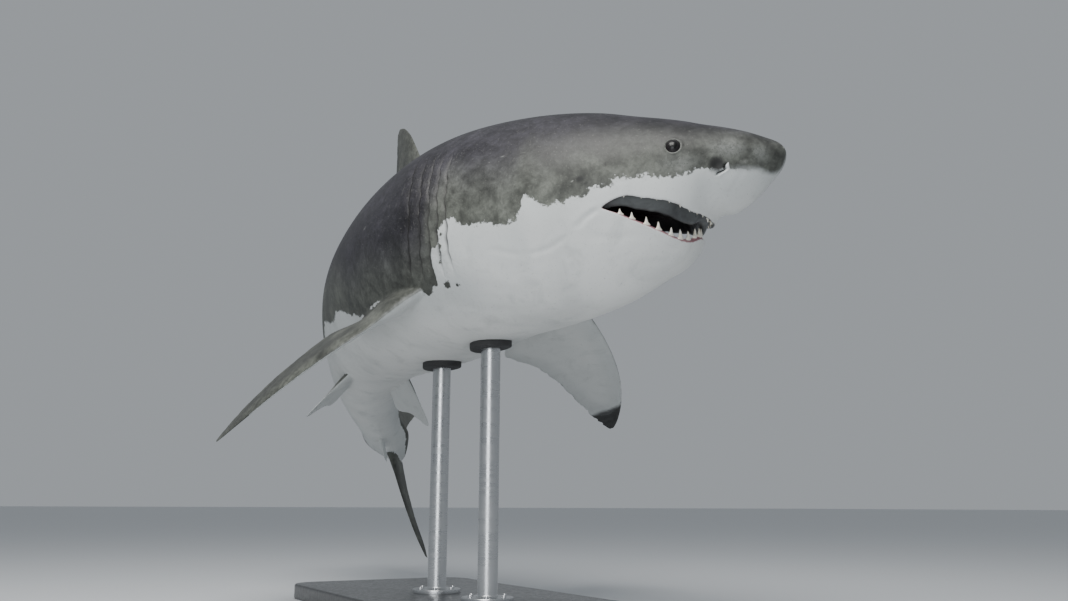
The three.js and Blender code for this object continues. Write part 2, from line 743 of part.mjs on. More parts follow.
function standRod(station) {
  const { x, y, belly } = rodFoot(station);
  const bottom = BASE.height + FIT_GAP;
  const top = belly + SADDLE_RADIUS;
  const profile = [
    [0, bottom],
    [FLANGE_RADIUS, bottom],
    [FLANGE_RADIUS, bottom + FLANGE_HEIGHT - FLANGE_EDGE],
    [FLANGE_RADIUS - FLANGE_EDGE, bottom + FLANGE_HEIGHT],
    [ROD_RADIUS + ROD_FILLET, bottom + FLANGE_HEIGHT],
    [ROD_RADIUS + 0.3 * ROD_FILLET, bottom + FLANGE_HEIGHT + 0.3 * ROD_FILLET],
    [ROD_RADIUS, bottom + FLANGE_HEIGHT + ROD_FILLET],
    [ROD_RADIUS, top],
    [0, top],
  ].map(([r, z]) => new THREE.Vector2(r, z));
  const rod = new THREE.LatheGeometry(profile, ROUND_SIDES).rotateX(Math.PI / 2);
  const solid = solidOf(rod.translate(x, y, 0));
  return solid.subtract(grownBody(SADDLE_THICKNESS + FIT_GAP));
}

// A pad between a rod and the belly, curved to the skin.
function standSaddle(station) {
  const { x, y, belly } = rodFoot(station);
  const pad = new THREE.CylinderGeometry(SADDLE_RADIUS, SADDLE_RADIUS, 4 * SADDLE_RADIUS, ROUND_SIDES);
  const solid = solidOf(pad.rotateX(Math.PI / 2).translate(x, y, belly));
  return solid.intersect(grownBody(SADDLE_THICKNESS)).subtract(bodyAndGap);
}

addPiece("stand_base", standBase(), darkLacquer);
ROD_STATIONS.forEach((station, i) => {
  const end = ["front", "rear"][i];
  addPiece(`stand_rod_${end}`, standRod(station), brushedSteel);
  addPiece(`stand_saddle_${end}`, standSaddle(station), blackRubber);
});

export default shark;
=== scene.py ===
# %% [markdown]
# # A great white shark on a display stand
#
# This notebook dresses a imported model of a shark, 4.5 m long, in its skin, eyes and teeth. The packed
# solids fix the size and the pose. What is made here lies on their surface: one skin without a seam from
# snout to tail, with the mouth, gills, nostrils and fins in it.
#
# Shapes are worked out with numpy as surfaces on a grid, and Blender joins, smooths and colours them.

import bmesh
import bpy
import numpy as np
from mathutils import Matrix, Quaternion, Vector


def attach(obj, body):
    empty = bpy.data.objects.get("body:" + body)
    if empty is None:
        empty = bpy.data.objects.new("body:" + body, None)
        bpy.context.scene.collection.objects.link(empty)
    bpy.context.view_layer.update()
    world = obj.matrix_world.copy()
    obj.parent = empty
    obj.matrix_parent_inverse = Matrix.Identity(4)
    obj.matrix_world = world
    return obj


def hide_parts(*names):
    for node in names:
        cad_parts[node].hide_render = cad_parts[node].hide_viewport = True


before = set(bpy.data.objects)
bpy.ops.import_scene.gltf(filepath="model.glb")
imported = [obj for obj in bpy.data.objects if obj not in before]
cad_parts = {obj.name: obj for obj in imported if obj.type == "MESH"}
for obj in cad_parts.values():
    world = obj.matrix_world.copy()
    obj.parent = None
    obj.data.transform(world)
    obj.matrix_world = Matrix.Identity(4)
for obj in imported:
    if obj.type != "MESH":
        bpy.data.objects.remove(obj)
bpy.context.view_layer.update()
print("packed nodes:", len(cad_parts))

# %% [markdown]
# ## Body places
#
# A shark is easiest to describe along its own body. A body place is (station, side, height) in percent of
# the total length: station runs back from the snout along the spine, side is positive to the left, height
# is positive towards the back. The tables below are the same driving sizes as in the solids.

# %% Driving sizes
TOTAL_LENGTH = 4.5
PERCENT = TOTAL_LENGTH / 100
MM = 0.001

ANCHOR_STATION = 20
ANCHOR_PLACE = Vector((0.680, 0, 1.420))
HEADING, PITCH, ROLL = 17, 3, 4

# Bend of the spine in degrees for each tenth of the length: sideways, upwards, twist.
BENDS = [
    (0, 0, -1, -1),
    (10, -10.5, -1, -1),
    (22, -22.5, 0.5, -1),
    (34, 0.5, -2, -2),
    (46, -7.5, -8.5, -4.5),
    (58, -8, -9, -1),
    (70, -13, -4.5, 3),
    (84, -12.5, -3.5, 4),
]

# Section at each station: back, belly, half width, height of the widest line, and the power of the curve
# above and below that line (2 is an ellipse, less is more pointed).
SECTIONS = [
    (0, 0, 0, 0, 0, 2, 2),
    (0.35, 0.7, -0.98, 1.05, 0, 2, 2),
    (1.2, 1.2, -1.85, 1.95, 0, 2, 2),
    (2.5, 1.85, -2.95, 2.85, 0, 2, 2),
    (4, 2.45, -3.7, 3.55, -0.05, 2, 2),
    (5.5, 2.98, -3.98, 4.13, -0.13, 2, 2),
    (6.4, 3.35, -5.3, 4.45, -0.2, 2, 2.05),
    (7.5, 3.75, -6.6, 4.75, -0.3, 2, 2.1),
    (10, 4.6, -7.8, 5.3, -0.6, 2, 2.2),
    (12.5, 5.5, -8.7, 6.0, -0.9, 2, 2.2),
    (16, 6.4, -9.35, 7.0, -1.1, 2, 2.2),
    (20, 7.15, -9.6, 7.9, -1.2, 2, 2.2),
    (25, 7.9, -9.6, 8.7, -1.2, 1.95, 2.2),
    (30, 8.3, -9.75, 9.0, -1.1, 1.9, 2.2),
    (36, 8.2, -9.9, 8.8, -0.9, 1.9, 2.2),
    (42, 7.7, -9.6, 8.1, -0.7, 1.9, 2.2),
    (48, 7.0, -8.9, 7.2, -0.5, 1.9, 2.1),
    (54, 6.2, -7.8, 6.2, -0.3, 1.9, 2.1),
    (60, 5.3, -6.4, 5.2, -0.2, 1.9, 2),
    (66, 4.4, -5.0, 4.2, -0.1, 1.9, 2),
    (72, 3.45, -3.6, 3.2, 0, 1.9, 2),
    (77, 2.6, -2.5, 2.65, 0, 1.8, 1.8),
    (80.5, 1.95, -1.85, 2.75, 0, 1.5, 1.5),
    (83, 1.6, -1.45, 1.85, 0, 1.5, 1.5),
    (85.8, 0.6, -0.55, 0.2, 0, 2, 2),
]
BODY_END = SECTIONS[-1][0]

# %% [markdown]
# ## Smooth curves through a few rows
#
# A straight line between two rows of a table would leave a crease in the body. A cubic between each pair,
# with slopes taken from the rows beside it, passes through every row and has no crease.

# %% Curves


def through(rows, x):
    """Each column after the first as a smooth curve of the first. Between two rows it is the cubic with
    their values and slopes. A row's slope is the mean of the rises on both sides, each weighted by the
    length of the other side."""
    rows = np.asarray(rows, float)
    knots, values = rows[:, 0], rows[:, 1:]
    gaps = np.diff(knots)[:, None]
    rises = np.diff(values, axis=0) / gaps
    inner = (gaps[1:] * rises[:-1] + gaps[:-1] * rises[1:]) / (gaps[1:] + gaps[:-1])
    slopes = np.vstack([rises[:1], inner, rises[-1:]])
    x = np.clip(np.asarray(x, float), knots[0], knots[-1])
    i = np.clip(np.searchsorted(knots, x, side="right") - 1, 0, len(knots) - 2)
    gap = gaps[i]
    t = (x[..., None] - knots[i][..., None]) / gap
    return (
        (2 * t**3 - 3 * t**2 + 1) * values[i]
        + (t**3 - 2 * t**2 + t) * gap * slopes[i]
        + (3 * t**2 - 2 * t**3) * values[i + 1]
        + (t**3 - t**2) * gap * slopes[i + 1]
    )


def smooth(low, high, x):
    """0 below low, 1 above high, and 3t^2 - 2t^3 between. high may be the smaller one."""
    t = np.clip((x - low) / (high - low), 0, 1)
    return t * t * (3 - 2 * t)


def hill(x, width):
    """A bell of height 1 at 0: e to the minus (x / width)^2."""
    return np.exp(-((x / width) ** 2))


# %% [markdown]
# ## The spine
#
# The pose is a bent spine. It is walked in short steps from a fixed station, and at each step the frame of
# three directions turns a little. Points between two steps are a weighted mean of their frames.

# %% The spine
SPINE_STEP = 0.5


def anchor_frame():
    """The frame at the anchor: heading about Z, then pitch about -Y, then roll about X."""
    turns = ((HEADING, (0, 0, 1)), (PITCH, (0, -1, 0)), (ROLL, (1, 0, 0)))
    frame_there = Quaternion()
    for degrees, axis in turns:
        frame_there = frame_there @ Quaternion(axis, np.radians(degrees))
    return frame_there


def walk(direction):
    """Frames and places from the anchor to one end of the spine, one step at a time."""
    frame_here, place_here = anchor_frame(), ANCHOR_PLACE.copy()
    station = ANCHOR_STATION
    knots = [(station, frame_here, place_here)]
    while 0 < station + direction * SPINE_STEP / 2 < 100:
        sideways, upwards, twist = through(BENDS, station + direction * SPINE_STEP / 2)
        turn = Vector((twist, upwards, sideways)) * np.radians(SPINE_STEP * direction / 10)
        frame_next = frame_here @ Quaternion(turn.normalized(), turn.length)
        ahead = (frame_here @ Vector((1, 0, 0)) + frame_next @ Vector((1, 0, 0))) / 2
        place_here = place_here - ahead * SPINE_STEP * PERCENT * direction
        frame_here = frame_next
        station += direction * SPINE_STEP
        knots.append((station, frame_here, place_here))
    return knots


SPINE = walk(-1)[:0:-1] + walk(1)
SPINE_PLACES = np.array([knot[2] for knot in SPINE])
SPINE_AXES = np.array([np.array(knot[1].to_matrix()).T for knot in SPINE])  # forward, left, up
print("spine steps:", len(SPINE), "from", SPINE[0][0], "to", SPINE[-1][0])


def spine_at(station):
    """Place and the three unit directions (forward, left, up) at each station."""
    at = np.clip(np.asarray(station, float) / SPINE_STEP, 0, len(SPINE) - 1.001)
    i = at.astype(int)
    t = (at - i)[..., None]
    places = SPINE_PLACES[i] * (1 - t) + SPINE_PLACES[i + 1] * t
    axes = SPINE_AXES[i] * (1 - t[..., None]) + SPINE_AXES[i + 1] * t[..., None]
    return places, axes / np.linalg.norm(axes, axis=-1, keepdims=True)


def body_place(station, side, height):
    """Body places as points in metres: along the spine, then out along its left and up."""
    station, side, height = np.broadcast_arrays(station, side, height)
    places, axes = spine_at(station)
    return places + PERCENT * (side[..., None] * axes[..., 1, :] + height[..., None] * axes[..., 2, :])


# %% [markdown]
# ## The body's surface
#
# Every section is an egg of four quarter curves. Its angle runs from 0 on the back through 90 on the right
# to 180 on the belly, and back up the left side as negative angles. The tables are read through the square
# root of the station, because a round snout widens like a square root.

# %% The body's surface
ROOT_SECTIONS = [(row[0] ** 0.5, *row[1:]) for row in SECTIONS]


def section(station, angle):
    """Side and height at an angle in degrees: half width times |sin|^p, and the reach to the back or the
    belly times |cos|^p, with p = 2 / the power of that quarter."""
    shape = through(ROOT_SECTIONS, np.sqrt(np.clip(station, 0, None)))
    back, belly, half, widest, upper, lower = np.moveaxis(shape, -1, 0)
    cosine, sine = np.cos(np.radians(angle)), np.sin(np.radians(angle))
    power = 2 / np.where(cosine >= 0, upper, lower)
    reach = np.where(cosine >= 0, back, belly) - widest
    return -half * np.sign(sine) * np.abs(sine) ** power, widest + reach * np.abs(cosine) ** power


def skin_point(station, angle):
    """The point of the plain body surface at a station and an angle."""
    return body_place(station, *section(station, angle))


def skin_normal(station, angle):
    """The outward unit normal: the cross product of the steps along the body and round it. The very tip of
    the snout, where there is no way round, takes that of a point just behind it."""
    station, angle = np.maximum(station, 0.01), np.asarray(angle, float)
    around = skin_point(station, angle + 1) - skin_point(station, angle - 1)
    along = skin_point(station + 0.05, angle) - skin_point(station, angle)
    normal = np.cross(along, around)
    return normal / np.linalg.norm(normal, axis=-1, keepdims=True)


def skin_off(station, angle, out):
    """A point out metres off the plain body surface."""
    return skin_point(station, angle) + np.asarray(out)[..., None] * skin_normal(station, angle)

# %% [markdown]
# ## From a grid of points to a closed mesh
#
# A surface worked out on a grid has a seam where its last column meets its first, and a heap of equal points
# at each pole. Welding equal points closes both. Then the enclosed volume tells which way the faces point.

# %% Meshes from grids
# Of these marks, slit and deep hold painted shade: the dark of the gill slits, the nostril's slit and the
# throat.
MARKS = ("shade", "ink", "pale", "slit", "wrinkle", "frost", "gum", "roof", "deep", "along", "around")
BODY, LINING, FIN = 1, 2, 3


def grid_quads(rows, columns, first=0):
    """Corner numbers of the quads of a grid whose columns run round and close."""
    here = first + np.arange(rows * columns).reshape(rows, columns)
    beside = np.roll(here, -1, axis=1)
    return np.stack([here[:-1], here[1:], beside[1:], beside[:-1]], -1).reshape(-1, 4)


def welded(points, quads):
    """Gives equal points one number, and keeps each face's distinct corners: four, or three at a pole."""
    keys = np.round(points / (0.02 * MM)).astype(np.int64)
    _, first, number = np.unique(keys, axis=0, return_index=True, return_inverse=True)
    quads = number.reshape(-1)[quads]
    distinct = quads != np.roll(quads, 1, axis=1)
    whole = quads[distinct.all(axis=1)]
    whole = whole[(whole[:, 0] != whole[:, 2]) & (whole[:, 1] != whole[:, 3])]
    thin = quads[distinct.sum(axis=1) == 3]
    corners = thin[distinct[distinct.sum(axis=1) == 3]].reshape(-1, 3)
    return first, whole, corners


def enclosed(points, quads, corners):
    """Volume inside the faces: a sixth of the sum of each triangle's triple product."""
    triangles = np.vstack([quads[:, [0, 1, 2]], quads[:, [0, 2, 3]], corners])
    a, b, c = (points[triangles[:, k]] for k in range(3))
    return np.einsum("ij,ij->i", a, np.cross(b, c)).sum() / 6


def closed_object(name, points, quads, part, marks=None):
    """A closed mesh object with outward faces, and its marks as point attributes."""
    first, quads, corners = welded(points, quads)
    points = points[first]
    if enclosed(points, quads, corners) < 0:
        quads, corners = quads[:, ::-1], corners[:, ::-1]
    mesh = bpy.data.meshes.new(name)
    mesh.from_pydata(points.tolist(), [], quads.tolist() + corners.tolist())
    mesh.polygons.foreach_set("use_smooth", np.ones(len(mesh.polygons), bool))
    values = {"part": np.full(len(points), float(part))}
    for mark in MARKS:
        values[mark] = np.zeros(len(points)) if marks is None else marks[mark].reshape(-1)[first]
    for key, value in values.items():
        mesh.attributes.new(key, "FLOAT", "POINT").data.foreach_set("value", value.astype(np.float32))
    piece = bpy.data.objects.new(name, mesh)
    bpy.context.scene.collection.objects.link(piece)
    return piece


def blank_marks(shape):
    """All marks at zero, for a grid of this shape."""
    return {mark: np.zeros(shape) for mark in MARKS}


# %% [markdown]
# ## Grid lines where they are needed
#
# The grid is finest at the snout, the mouth and the gill slits. Its lines across the body bend with the
# gill slits, so that each slit lies between two lines, and they crowd together at the eyes and nostrils.

# %% Grid lines
SNOUT_LINES = np.linspace(0.0, 1.0, 13)[1:] ** 2
GILLS = np.array([21.5, 22.25, 23.05, 23.95, 25.1])
GILL_LINES = np.array([-15, -10.5, -7, -4.3, -2.4, -1.0, 1.0, 2.6, 5, 8.5, 13]) * MM / PERCENT
HEAD_END = 27.4
HEAD_LINES = np.concatenate([
    [0.0],
    SNOUT_LINES,
    np.arange(1.09, 12.6, 0.096),
    np.arange(12.75, 20.9, 0.2),
    (GILLS[:, None] + GILL_LINES[None]).ravel(),
    np.arange(25.5, HEAD_END + 0.01, 0.24),
])
TRUNK_LINES = np.concatenate([np.arange(HEAD_END, 77, 0.55), np.linspace(77.2, BODY_END, 26)])
COLUMNS = 256


def column_angles(count):
    """Angles round the body. Their density doubles on the flanks, where the eyes and lips are."""
    fine = np.linspace(-180, 180, 3601)
    density = 1 + 0.9 * hill(np.abs(fine) - 96, 36)
    share = np.cumsum(density) - density[0]
    return np.interp(np.arange(count) / count * share[-1], share, fine)


ANGLES = column_angles(COLUMNS)

EYE = {"station": 6.85, "angle": 77.8, "radius": 30 * MM, "depth": 21 * MM}
NOSTRIL = {"station": 4.05, "angle": 109.5}
GILL_TOP, GILL_BOTTOM = 52, 118


def crowded(station, angle, centre, reach, share):
    """Draws grid points towards a centre: their distance from it is multiplied by 1 - share in the middle,
    and by 1 from reach metres on."""
    girth = PERCENT * through(ROOT_SECTIONS, np.sqrt(np.array([centre["station"]])))[0, 2]
    from_centre = np.abs(angle) - centre["angle"]
    far = np.hypot((station - centre["station"]) * PERCENT, np.radians(from_centre) * girth)
    factor = 1 - share * (1 - smooth(0, reach, far))
    station = centre["station"] + (station - centre["station"]) * factor
    return station, np.where(angle < 0, -1, 1) * (centre["angle"] + from_centre * factor)


def gill_bow(line, angle):
    """How far back a grid line lies at an angle. Between the ends of a slit it bows forward like a sine,
    more at the rear slits, with small waves. Both fade out before and behind the gills."""
    down = np.clip((np.abs(angle) - GILL_TOP) / (GILL_BOTTOM - GILL_TOP), 0, 1)
    bow = np.interp(line, [21.3, 25.1], [0.35, 1.0]) * (0.35 - np.sin(np.pi * down))
    wave = 0.05 * np.sin(angle / 3.1 + 2.6 * line) + 0.035 * np.sin(angle / 1.3 - 4.1 * line)
    fade = smooth(15, 21, line) * (1 - smooth(25.5, 32, line))
    return (bow + wave * smooth(0.02, 0.2, down) * smooth(0.98, 0.8, down) * smooth(18, 21, line)) * fade


def grid_places(lines, angles):
    """Station and angle of every grid point."""
    line, angle = np.meshgrid(lines, angles, indexing="ij")
    station = line + gill_bow(line, angle)
    station, angle = crowded(station, angle, EYE, 0.11, 0.5)
    station, angle = crowded(station, angle, NOSTRIL, 0.09, 0.5)
    return line, station, angle


print("lines across the head:", len(HEAD_LINES), "and the trunk:", len(TRUNK_LINES))

# %% [markdown]
# ## Relief
#
# The plain surface is moved in or out along its normal. Each feature is its own small function of the
# distance to a point or to a line drawn on the skin.

# %% Distances on the skin


def drawn(places, count=40):
    """Points of a line drawn on the skin smoothly through a few (station, angle) places."""
    rows = [(i, *place) for i, place in enumerate(places)]
    station, angle = np.moveaxis(through(rows, np.linspace(0, len(rows) - 1, count)), -1, 0)
    return skin_point(station, angle)


def near_line(points, line):
    """Distance from each point to the nearest of a line's stretches, and how far along the line that is,
    from 0 to 1. A point further than 120 mm from the line's box is only given a large distance."""
    far = np.full(points.shape[:-1], 1.0)
    part = np.zeros(points.shape[:-1])
    inside = ((points > line.min(0) - 0.12) & (points < line.max(0) + 0.12)).all(axis=-1)
    near = points[inside]
    start, step = line[:-1], np.diff(line, axis=0)
    offset = near[:, None] - start[None]
    t = np.clip(np.einsum("nkc,kc->nk", offset, step) / (step**2).sum(-1), 0, 1)
    gap = np.linalg.norm(offset - t[..., None] * step[None], axis=-1)
    best = gap.argmin(axis=1)
    rows = np.arange(len(near))
    far[inside] = gap[rows, best]
    part[inside] = (best + t[rows, best]) / len(step)
    return far, part


def ends_faded(part):
    """1 in the middle of a drawn line, falling to 0 at both ends."""
    return smooth(0, 0.2, part) * smooth(1, 0.8, part)


# %% [markdown]
# ### Gill slits
#
# Five flaps of skin overlap like shutters. Each lifts a little towards its rear edge, and behind the edge
# the skin drops into the slit and comes back up under the next flap.

# %% Relief of the gills
FLAP_FADE = 18 * MM


def gill_relief(line, angle):
    """Lift of the flaps and depth of the slits, and how deep in a slit each point is (0 to 1), which the
    material uses as painted shade. Ahead of a slit the lift grows as e^(x / 18 mm). Behind it the depth fades
    as e^(-x / 7 mm), more slowly further back. The painted shade of a slit also takes in a narrow rim ahead
    of it."""
    out = np.zeros(line.shape)
    slit = np.zeros(line.shape)
    angle = np.abs(angle)
    for number, gill in enumerate(GILLS):
        top = GILL_TOP + 3 - 1.8 * number
        window = smooth(top - 4, top + 9, angle) * smooth(GILL_BOTTOM + 3, GILL_BOTTOM - 12, angle)
        behind = (line - gill) * PERCENT
        lift = (3.5 + 0.4 * number) * MM * np.exp(np.minimum(behind, 0) / FLAP_FADE) * (behind < 0)
        depth = (14 + 3 * number) * MM
        fade = (7 + 1.5 * number) * MM
        drop = depth * np.exp(-np.maximum(behind - 1.5 * MM, 0) / fade) * (behind >= 0)
        lip = 0.5 * depth * hill(behind + 1.0 * MM, 1.2 * MM) * (behind < 0)
        out += window * (lift - drop - lip)
        inside = np.exp(-np.maximum(behind - 2 * MM, 0) / (1.1 * fade))
        rim = (3.5 + 1.8 * number) * MM
        # The slit value is painted shade: dark deep in a slit and on a rim ahead of it.
        slit = np.maximum(slit, window * np.where(behind >= 0, inside, hill(behind, rim)))
    return out, slit


# %% [markdown]
# ### Eyes and nostrils
#
# The skin dips under the eyeball inside a thin raised rim. The nostril is a slanted slit beside a soft pit,
# with a flap that curls over its front edge.

# %% Relief of the eyes and nostrils
NOSTRIL_SLIT = [(3.62, 103.5), (3.84, 108), (3.84, 112), (4.3, 114.3), (4.5, 118)]
NOSTRIL_FLAP = [(3.46, 103), (3.68, 108), (3.67, 112.5), (4.15, 116), (4.38, 120.5)]
NOSTRIL_CREASE = [(4.42, 117), (4.36, 122.5), (4.28, 129)]
NOSTRIL_BLOTCH = (4.3, 105.2)


def eye_relief(points):
    """A rim 2 mm high round the eyeball, and a bowl under it."""
    out = np.zeros(points.shape[:-1])
    ring = np.zeros(points.shape[:-1])
    for side in (-1, 1):
        far = np.linalg.norm(points - skin_point(EYE["station"], side * EYE["angle"]), axis=-1)
        out += 2.0 * MM * hill(far - 26 * MM, 3.5 * MM) - 11 * MM * smooth(23.5 * MM, 15 * MM, far)
        ring += hill(far - 24.5 * MM, 2.4 * MM)
    return out, ring


def nostril_relief(points):
    """A shallow pit behind the slit, the slit itself, a flap that stands up along its front edge, and a
    crease below. Also how much each point belongs to the white flap, and to the dark round the pit and
    in the slit; the dark in the slit is painted shade."""
    out = np.zeros(points.shape[:-1])
    flap = np.zeros(points.shape[:-1])
    dark = np.zeros(points.shape[:-1])
    for side in (-1, 1):
        pit = skin_point(NOSTRIL_BLOTCH[0], side * NOSTRIL_BLOTCH[1])
        far = np.linalg.norm(points - pit, axis=-1)
        shapes = (NOSTRIL_SLIT, NOSTRIL_FLAP, NOSTRIL_CREASE)
        lines = [drawn([(s, side * a) for s, a in line]) for line in shapes]
        (gap, part), (rim, rim_part), (fold, fold_part) = (near_line(points, line) for line in lines)
        out += -4 * MM * hill(far, 14 * MM) - 10 * MM * hill(gap, 3.2 * MM) * ends_faded(part)
        out += 1.9 * MM * hill(rim, 3.2 * MM) * ends_faded(rim_part)
        out += -1.4 * MM * hill(fold, 3.0 * MM) * ends_faded(fold_part)
        flap = np.maximum(flap, 0.8 * hill(rim, 3.4 * MM) * ends_faded(rim_part))
        flap = np.maximum(flap, 0.7 * hill(fold, 4 * MM) * ends_faded(fold_part))
        # The cut is painted shade inside the slit.
        cut = hill(gap, 2.8 * MM) * ends_faded(part)
        dark = np.maximum(dark, np.maximum(0.9 * smooth(42 * MM, 8 * MM, far), cut))
    return out, flap, dark


# %% [markdown]
# ### Folds
#
# Creases of loose skin lie on the throat and behind the corner of the mouth, a short one hangs below the
# eye, and the lips are slightly rolled.

# %% Relief of the folds
# Each fold: the places it runs through, its depth and its half width in millimetres.
FOLDS = [
    ([(16.6, 119), (15.2, 118.5), (13.7, 113.5)], 3.2, 9),
    ([(18.9, 111), (17.9, 115), (16.9, 119)], 2.2, 9),
    ([(7.0, 91), (7.2, 98), (7.34, 107)], 1.3, 2.4),
    ([(11.75, 105), (12.7, 108), (13.4, 112.5)], 5.0, 9),
    ([(9.3, 128), (11.2, 124), (12.8, 117)], 1.6, 14),
    ([(20.4, 128), (18.0, 139), (15.5, 150)], 2.0, 16),
    ([(24.5, 131), (21.0, 146), (17.0, 160)], 2.0, 20),
    ([(9.5, 96), (10.8, 95), (12.2, 97.5)], 1.0, 7),
    ([(2.4, 114), (3.0, 124), (3.9, 141)], 1.2, 9),
]


def fold_relief(points):
    """Each fold sinks by its depth along its line, with a low swelling on both sides of it."""
    out = np.zeros(points.shape[:-1])
    for places, depth, width in FOLDS:
        for side in (-1, 1):
            gap, part = near_line(points, drawn([(s, side * a) for s, a in places]))
            shape = hill(gap, width * MM) - 0.45 * hill(gap, 2.4 * width * MM)
            out -= depth * MM * shape * ends_faded(part)
    return out

# %% [markdown]
# ## Where the dark back ends
#
# A white shark is dark above and white below, with a ragged line between. Each point of the skin carries how
# far above that line it is. The material later adds noise to this distance, so that the edge comes out
# ragged at any zoom, while the line itself stays a short table.

# %% The line between back and belly
# Station, and angle of the line on both sides.
SHADE_LINE = [
    # At the tip the dark wraps right under the snout: partly the snout's own dark, partly painted shade under
    # the tip.
    (0, 180),
    (0.45, 180),
    (1.04, 158),
    (1.7, 131),
    (2.6, 118.5),
    (3.38, 114.5),
    (4.2, 111),
    (4.88, 108.8),
    (5.5, 106.8),
    (6.26, 105.3),
    (7.31, 102),
    (8.12, 98),
    (8.75, 96.8),
    (9.6, 95.5),
    (10.4, 94.8),
    (11.2, 96),
    (12.1, 96),
    (13.1, 97.5),
    (14.2, 98),
    (15.2, 96.5),
    (15.7, 92.5),
    (16.2, 93),
    (16.6, 100),
    (17.3, 102),
    (18.1, 101),
    (18.9, 98.5),
    (19.8, 98.5),
    (20.6, 94),
    (21.5, 93),
    (21.9, 97),
    (22.4, 104),
    (22.9, 108),
    (23.1, 118),
    (23.8, 124),
    (25.9, 125),
    (28.5, 124),
    (31, 121),
    (35, 124),
    (38, 119),
    (42, 112),
    (46, 115),
    (50, 108),
    (54, 112),
    (58, 104),
    (63, 108),
    (68, 101),
    (74, 104),
    (79, 112),
    (83, 128),
    (87, 140),
]
# Dark lobes and islands below the line: station, angle, radius in millimetres.
DARK_LOBES = [(21.75, 98.5, 13), (22.1, 104.5, 12), (22.35, 111.5, 7), (22.6, 124, 13), (21.9, 125.5, 8)]
# Dark and pale blotches on the back: station, angle, length, height in millimetres, and strength.
INK_SPOTS = [
    (12.7, 89.5, 19, 12, 0.95),
    (12.35, 92, 12, 10, 0.7),
    (11.1, 84, 5, 18, 0.55),
    (2.15, 93.5, 34, 9, 0.5),
    (5.1, 92, 9, 7, 0.5),
    (9.0, 74, 26, 22, 0.35),
    (18.3, 80, 110, 90, 0.34),
]
PALE_SPOTS = [
    (13.1, 89.8, 6, 3, 0.8),
    (0.12, 48, 3, 9, 0.8),
    (14.6, 88, 60, 26, 0.25),
    (6.6, 99, 44, 20, 0.4),
    (2.6, 108, 50, 14, 0.45),
]
FROST_SPOTS = [(3.4, 88, 80, 26, 1.0), (1.6, 100, 30, 26, 0.9), (6.4, 96, 60, 30, 0.55)]
# Pale scratches drawn on the skin: places and half width in millimetres.
SCRATCHES = [
    ([(14.2, 60), (16.5, 66), (18.8, 64)], 1.6),
    ([(29.5, 70), (31.0, 78), (33.5, 82)], 2.0),
    ([(33, 58), (36, 64), (38, 74)], 1.8),
    ([(47, 82), (50, 88), (54, 88)], 2.0),
    ([(8.6, 48), (9.3, 56), (9.6, 62)], 1.4),
    ([(40, 95), (42.5, 99), (44, 106)], 1.8),
]
SCAR_RINGS = [(17.9, 152, 24), (20.8, 118, 21)]


def shade_at(points, station, angle):
    """Metres above the line between back and belly, along the skin; a lobe adds its own round edge."""
    line = through(SHADE_LINE, station)[..., 0]
    girth = PERCENT * through(ROOT_SECTIONS, np.sqrt(station))[..., 2]
    above = np.radians(line - np.abs(angle)) * np.maximum(girth, 0.02)
    for lobe_station, lobe_angle, radius in DARK_LOBES:
        for side in (-1, 1):
            far = np.linalg.norm(points - skin_point(lobe_station, side * lobe_angle), axis=-1)
            above = np.maximum(above, radius * MM - far)
    return above


def spots(points, rows):
    """The strongest of several soft oval spots, each longer or shorter along the body than across it."""
    best = np.zeros(points.shape[:-1])
    for station, angle, length, height, strength in rows:
        for side in (-1, 1):
            centre = skin_point(station, side * angle)
            _, axes = spine_at(station)
            offset = points - centre
            along = offset @ axes[0]
            across = np.sqrt(np.maximum((offset**2).sum(-1) - along**2, 0))
            far = np.hypot(along / (length * MM), across / (height * MM))
            best = np.maximum(best, strength * hill(far, 1))
    return best


def drawn_marks(points):
    """Strength of the pale scratches and of the ring scars at each point."""
    pale = np.zeros(points.shape[:-1])
    for places, width in SCRATCHES:
        gap, part = near_line(points, drawn(places))
        pale = np.maximum(pale, 0.5 * hill(gap, width * MM) * ends_faded(part))
    ring = np.zeros(points.shape[:-1])
    for station, angle, radius in SCAR_RINGS:
        far = np.linalg.norm(points - skin_point(station, angle), axis=-1)
        ring = np.maximum(ring, hill(far - radius * MM, 2.6 * MM))
    return pale, ring


# %% [markdown]
# ## The body as two grids in one
#
# Behind the gills half as many columns are enough. At one ring every second column ends, and a row of
# triangles and quads joins the two parts, so that the body is still one surface.

# %% The body


def body_surface(lines, angles):
    """Points and marks of a stretch of the body: the plain surface plus its relief."""
    line, station, angle = grid_places(lines, angles)
    points = skin_point(station, angle)
    gills, slit = gill_relief(line, angle)
    eyes, ring = eye_relief(points)
    nostrils, flap, dark = nostril_relief(points)
    scratches, scars = drawn_marks(points)
    out = gills + eyes + nostrils + fold_relief(points) - 1.2 * MM * scars
    marks = blank_marks(line.shape)
    white = smooth(0.2, 0.6, flap)
    marks["shade"] = shade_at(points, station, angle) * (1 - white) - 0.03 * white
    marks["ink"] = np.maximum(spots(points, INK_SPOTS), dark) * (1 - smooth(0.3, 0.7, flap))
    marks["pale"] = np.clip(0.5 * ring + scratches + spots(points, PALE_SPOTS), 0, 1)
    # Painted shade: the gill slits and the nostril's slit are marked dark; scar rings add a little dark of
    # their own.
    marks["slit"] = np.clip(slit + smooth(0.96, 1.0, dark) + 0.25 * scars, 0, 1)
    marks["frost"] = spots(points, FROST_SPOTS)
    near_gills = smooth(20.3, 21.4, station) * smooth(27.6, 25.6, station)
    marks["wrinkle"] = near_gills * smooth(40, 62, np.abs(angle))
    marks["along"] = station
    marks["around"] = np.abs(angle) / 10
    return skin_off(station, angle, out), marks


